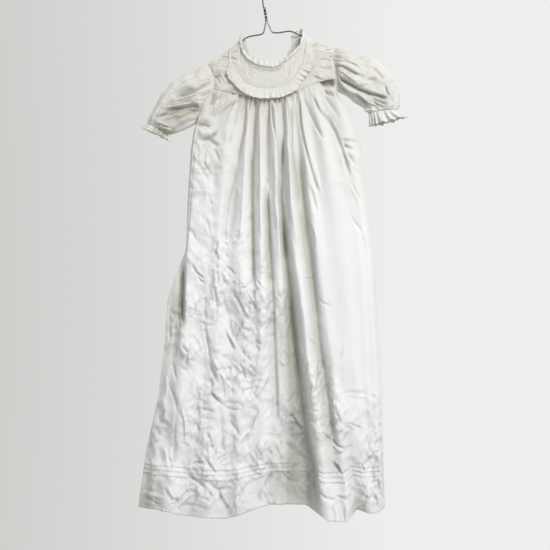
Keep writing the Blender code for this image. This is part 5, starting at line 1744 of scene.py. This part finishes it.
class GOWN_OT_stage(bpy.types.Operator):
    """Set the floor, the surround, the lights and the camera"""

    bl_idname = "gown.stage"
    bl_label = "Stage"

    def execute(self, context):
        sizes = context.scene.gown_stage
        bpy.ops.object.select_all(action="DESELECT")
        bpy.ops.mesh.primitive_circle_add(vertices=96, radius=FLOOR_RADIUS, fill_type="NGON",
                                          location=(0, 0, sizes.floor_height))
        floor = context.active_object
        floor.name = "stage_floor"
        drawing = Drawing("floor_paper", Roughness=0.9)
        place = drawing.node("ShaderNodeTexCoord", output=3)
        far = drawing.node("ShaderNodeVectorMath", {"operation": "LENGTH"}, {0: place}, output=1)
        shade = drawing.noise(place, 3.0, 3.0)
        drawing.feed("Base Color", drawing.mixed(shade, (0.80, 0.80, 0.79, 1), (0.76, 0.76, 0.75, 1)))
        drawing.feed("Alpha", ((FLOOR_RADIUS - 0.05 - far) / FLOOR_FADE).held())
        floor.data.materials.append(drawing.material)
        self.surround(sizes)
        self.light("key", KEY_PLACE, KEY_SIZE, sizes.key_power)
        self.light("back", BACK_PLACE, BACK_SIZE, sizes.back_power)
        context.scene.view_settings.view_transform = "Standard"
        camera = bpy.data.cameras.new("camera")
        camera.lens = camera.sensor_width / 2 / (sizes.view_width / 2 / sizes.camera_distance)
        view = bpy.data.objects.new("camera", camera)
        view.location = (VIEW_X, -sizes.camera_distance, VIEW_Z)
        view.rotation_euler = (math.pi / 2, 0, 0)
        context.scene.collection.objects.link(view)
        context.scene.camera = view
        return {"FINISHED"}

    def surround(self, sizes):
        """Pale surround, darker towards the left, that also lights the folds."""
        world = bpy.data.worlds.new("surround")
        world.use_nodes = True
        tree = world.node_tree
        place = tree.nodes.new("ShaderNodeTexCoord")
        parts = tree.nodes.new("ShaderNodeSeparateXYZ")
        tree.links.new(place.outputs["Generated"], parts.inputs[0])
        across, behind, up = parts.outputs
        ramp = tree.nodes.new("ShaderNodeValToRGB")
        stops = ramp.color_ramp.elements
        stops[0].color = (*sizes.surround_left, 1.0)
        stops[1].color = (*sizes.surround, 1.0)
        tree.links.new(self.graded(tree, across, -0.33, 0.15), ramp.inputs[0])
        mix = tree.nodes.new("ShaderNodeMix")
        mix.data_type = "RGBA"
        front = self.graded(tree, up, -0.6, 0.9, sizes.front_low, sizes.front_high)
        tree.links.new(self.graded(tree, behind, -0.2, 0.5), mix.inputs[0])
        tree.links.new(front, mix.inputs[6])
        tree.links.new(ramp.outputs[0], mix.inputs[7])
        tree.links.new(mix.outputs[2], tree.nodes["Background"].inputs["Color"])
        bpy.context.scene.world = world

    def graded(self, tree, value, low, high, at_low=0.0, at_high=1.0):
        """A value that goes from one amount to another while the given one goes from low to high."""
        spread = tree.nodes.new("ShaderNodeMapRange")
        spread.inputs["From Min"].default_value = low
        spread.inputs["From Max"].default_value = high
        spread.inputs["To Min"].default_value = at_low
        spread.inputs["To Max"].default_value = at_high
        tree.links.new(value, spread.inputs["Value"])
        return spread.outputs[0]

    def light(self, name, place, size, power):
        """Square soft light aimed at the middle of the gown."""
        lamp = bpy.data.lights.new(name, "AREA")
        lamp.shape, lamp.size, lamp.energy = "SQUARE", size, power
        lit = bpy.data.objects.new(name, lamp)
        lit.location = place
        lit.rotation_euler = (Vector(LIT_MIDDLE) - Vector(place)).to_track_quat("-Z", "Y").to_euler()
        bpy.context.scene.collection.objects.link(lit)


class GOWN_PT_panel(bpy.types.Panel):
    """Lists the gown's pieces and sizes"""

    bl_label = "Baby gown"
    bl_idname = "GOWN_PT_panel"
    bl_space_type = "VIEW_3D"
    bl_region_type = "UI"
    bl_category = "Gown"

    def draw(self, context):
        layout = self.layout
        for group in (context.scene.gown, context.scene.gown_stage):
            for name in group.__annotations__:
                layout.prop(group, name)
        for operator in OPERATORS:
            layout.operator(operator.bl_idname)


OPERATORS = (GOWN_OT_hanger, GOWN_OT_skirt, GOWN_OT_yokes, GOWN_OT_frills, GOWN_OT_sleeves, GOWN_OT_stage)
CLASSES = (GownSizes, StageSizes, *OPERATORS, GOWN_PT_panel)


def register():
    for item in CLASSES:
        bpy.utils.register_class(item)
    bpy.types.Scene.gown = PointerProperty(type=GownSizes)
    bpy.types.Scene.gown_stage = PointerProperty(type=StageSizes)


def unregister():
    del bpy.types.Scene.gown_stage
    del bpy.types.Scene.gown
    for item in reversed(CLASSES):
        bpy.utils.unregister_class(item)


def main():
    register()
    bpy.ops.gown.hanger()
    bpy.ops.gown.skirt()
    bpy.ops.gown.yokes()
    bpy.ops.gown.frills()
    bpy.ops.gown.sleeves()
    bpy.ops.gown.stage()


if __name__ == "__main__":
    main()
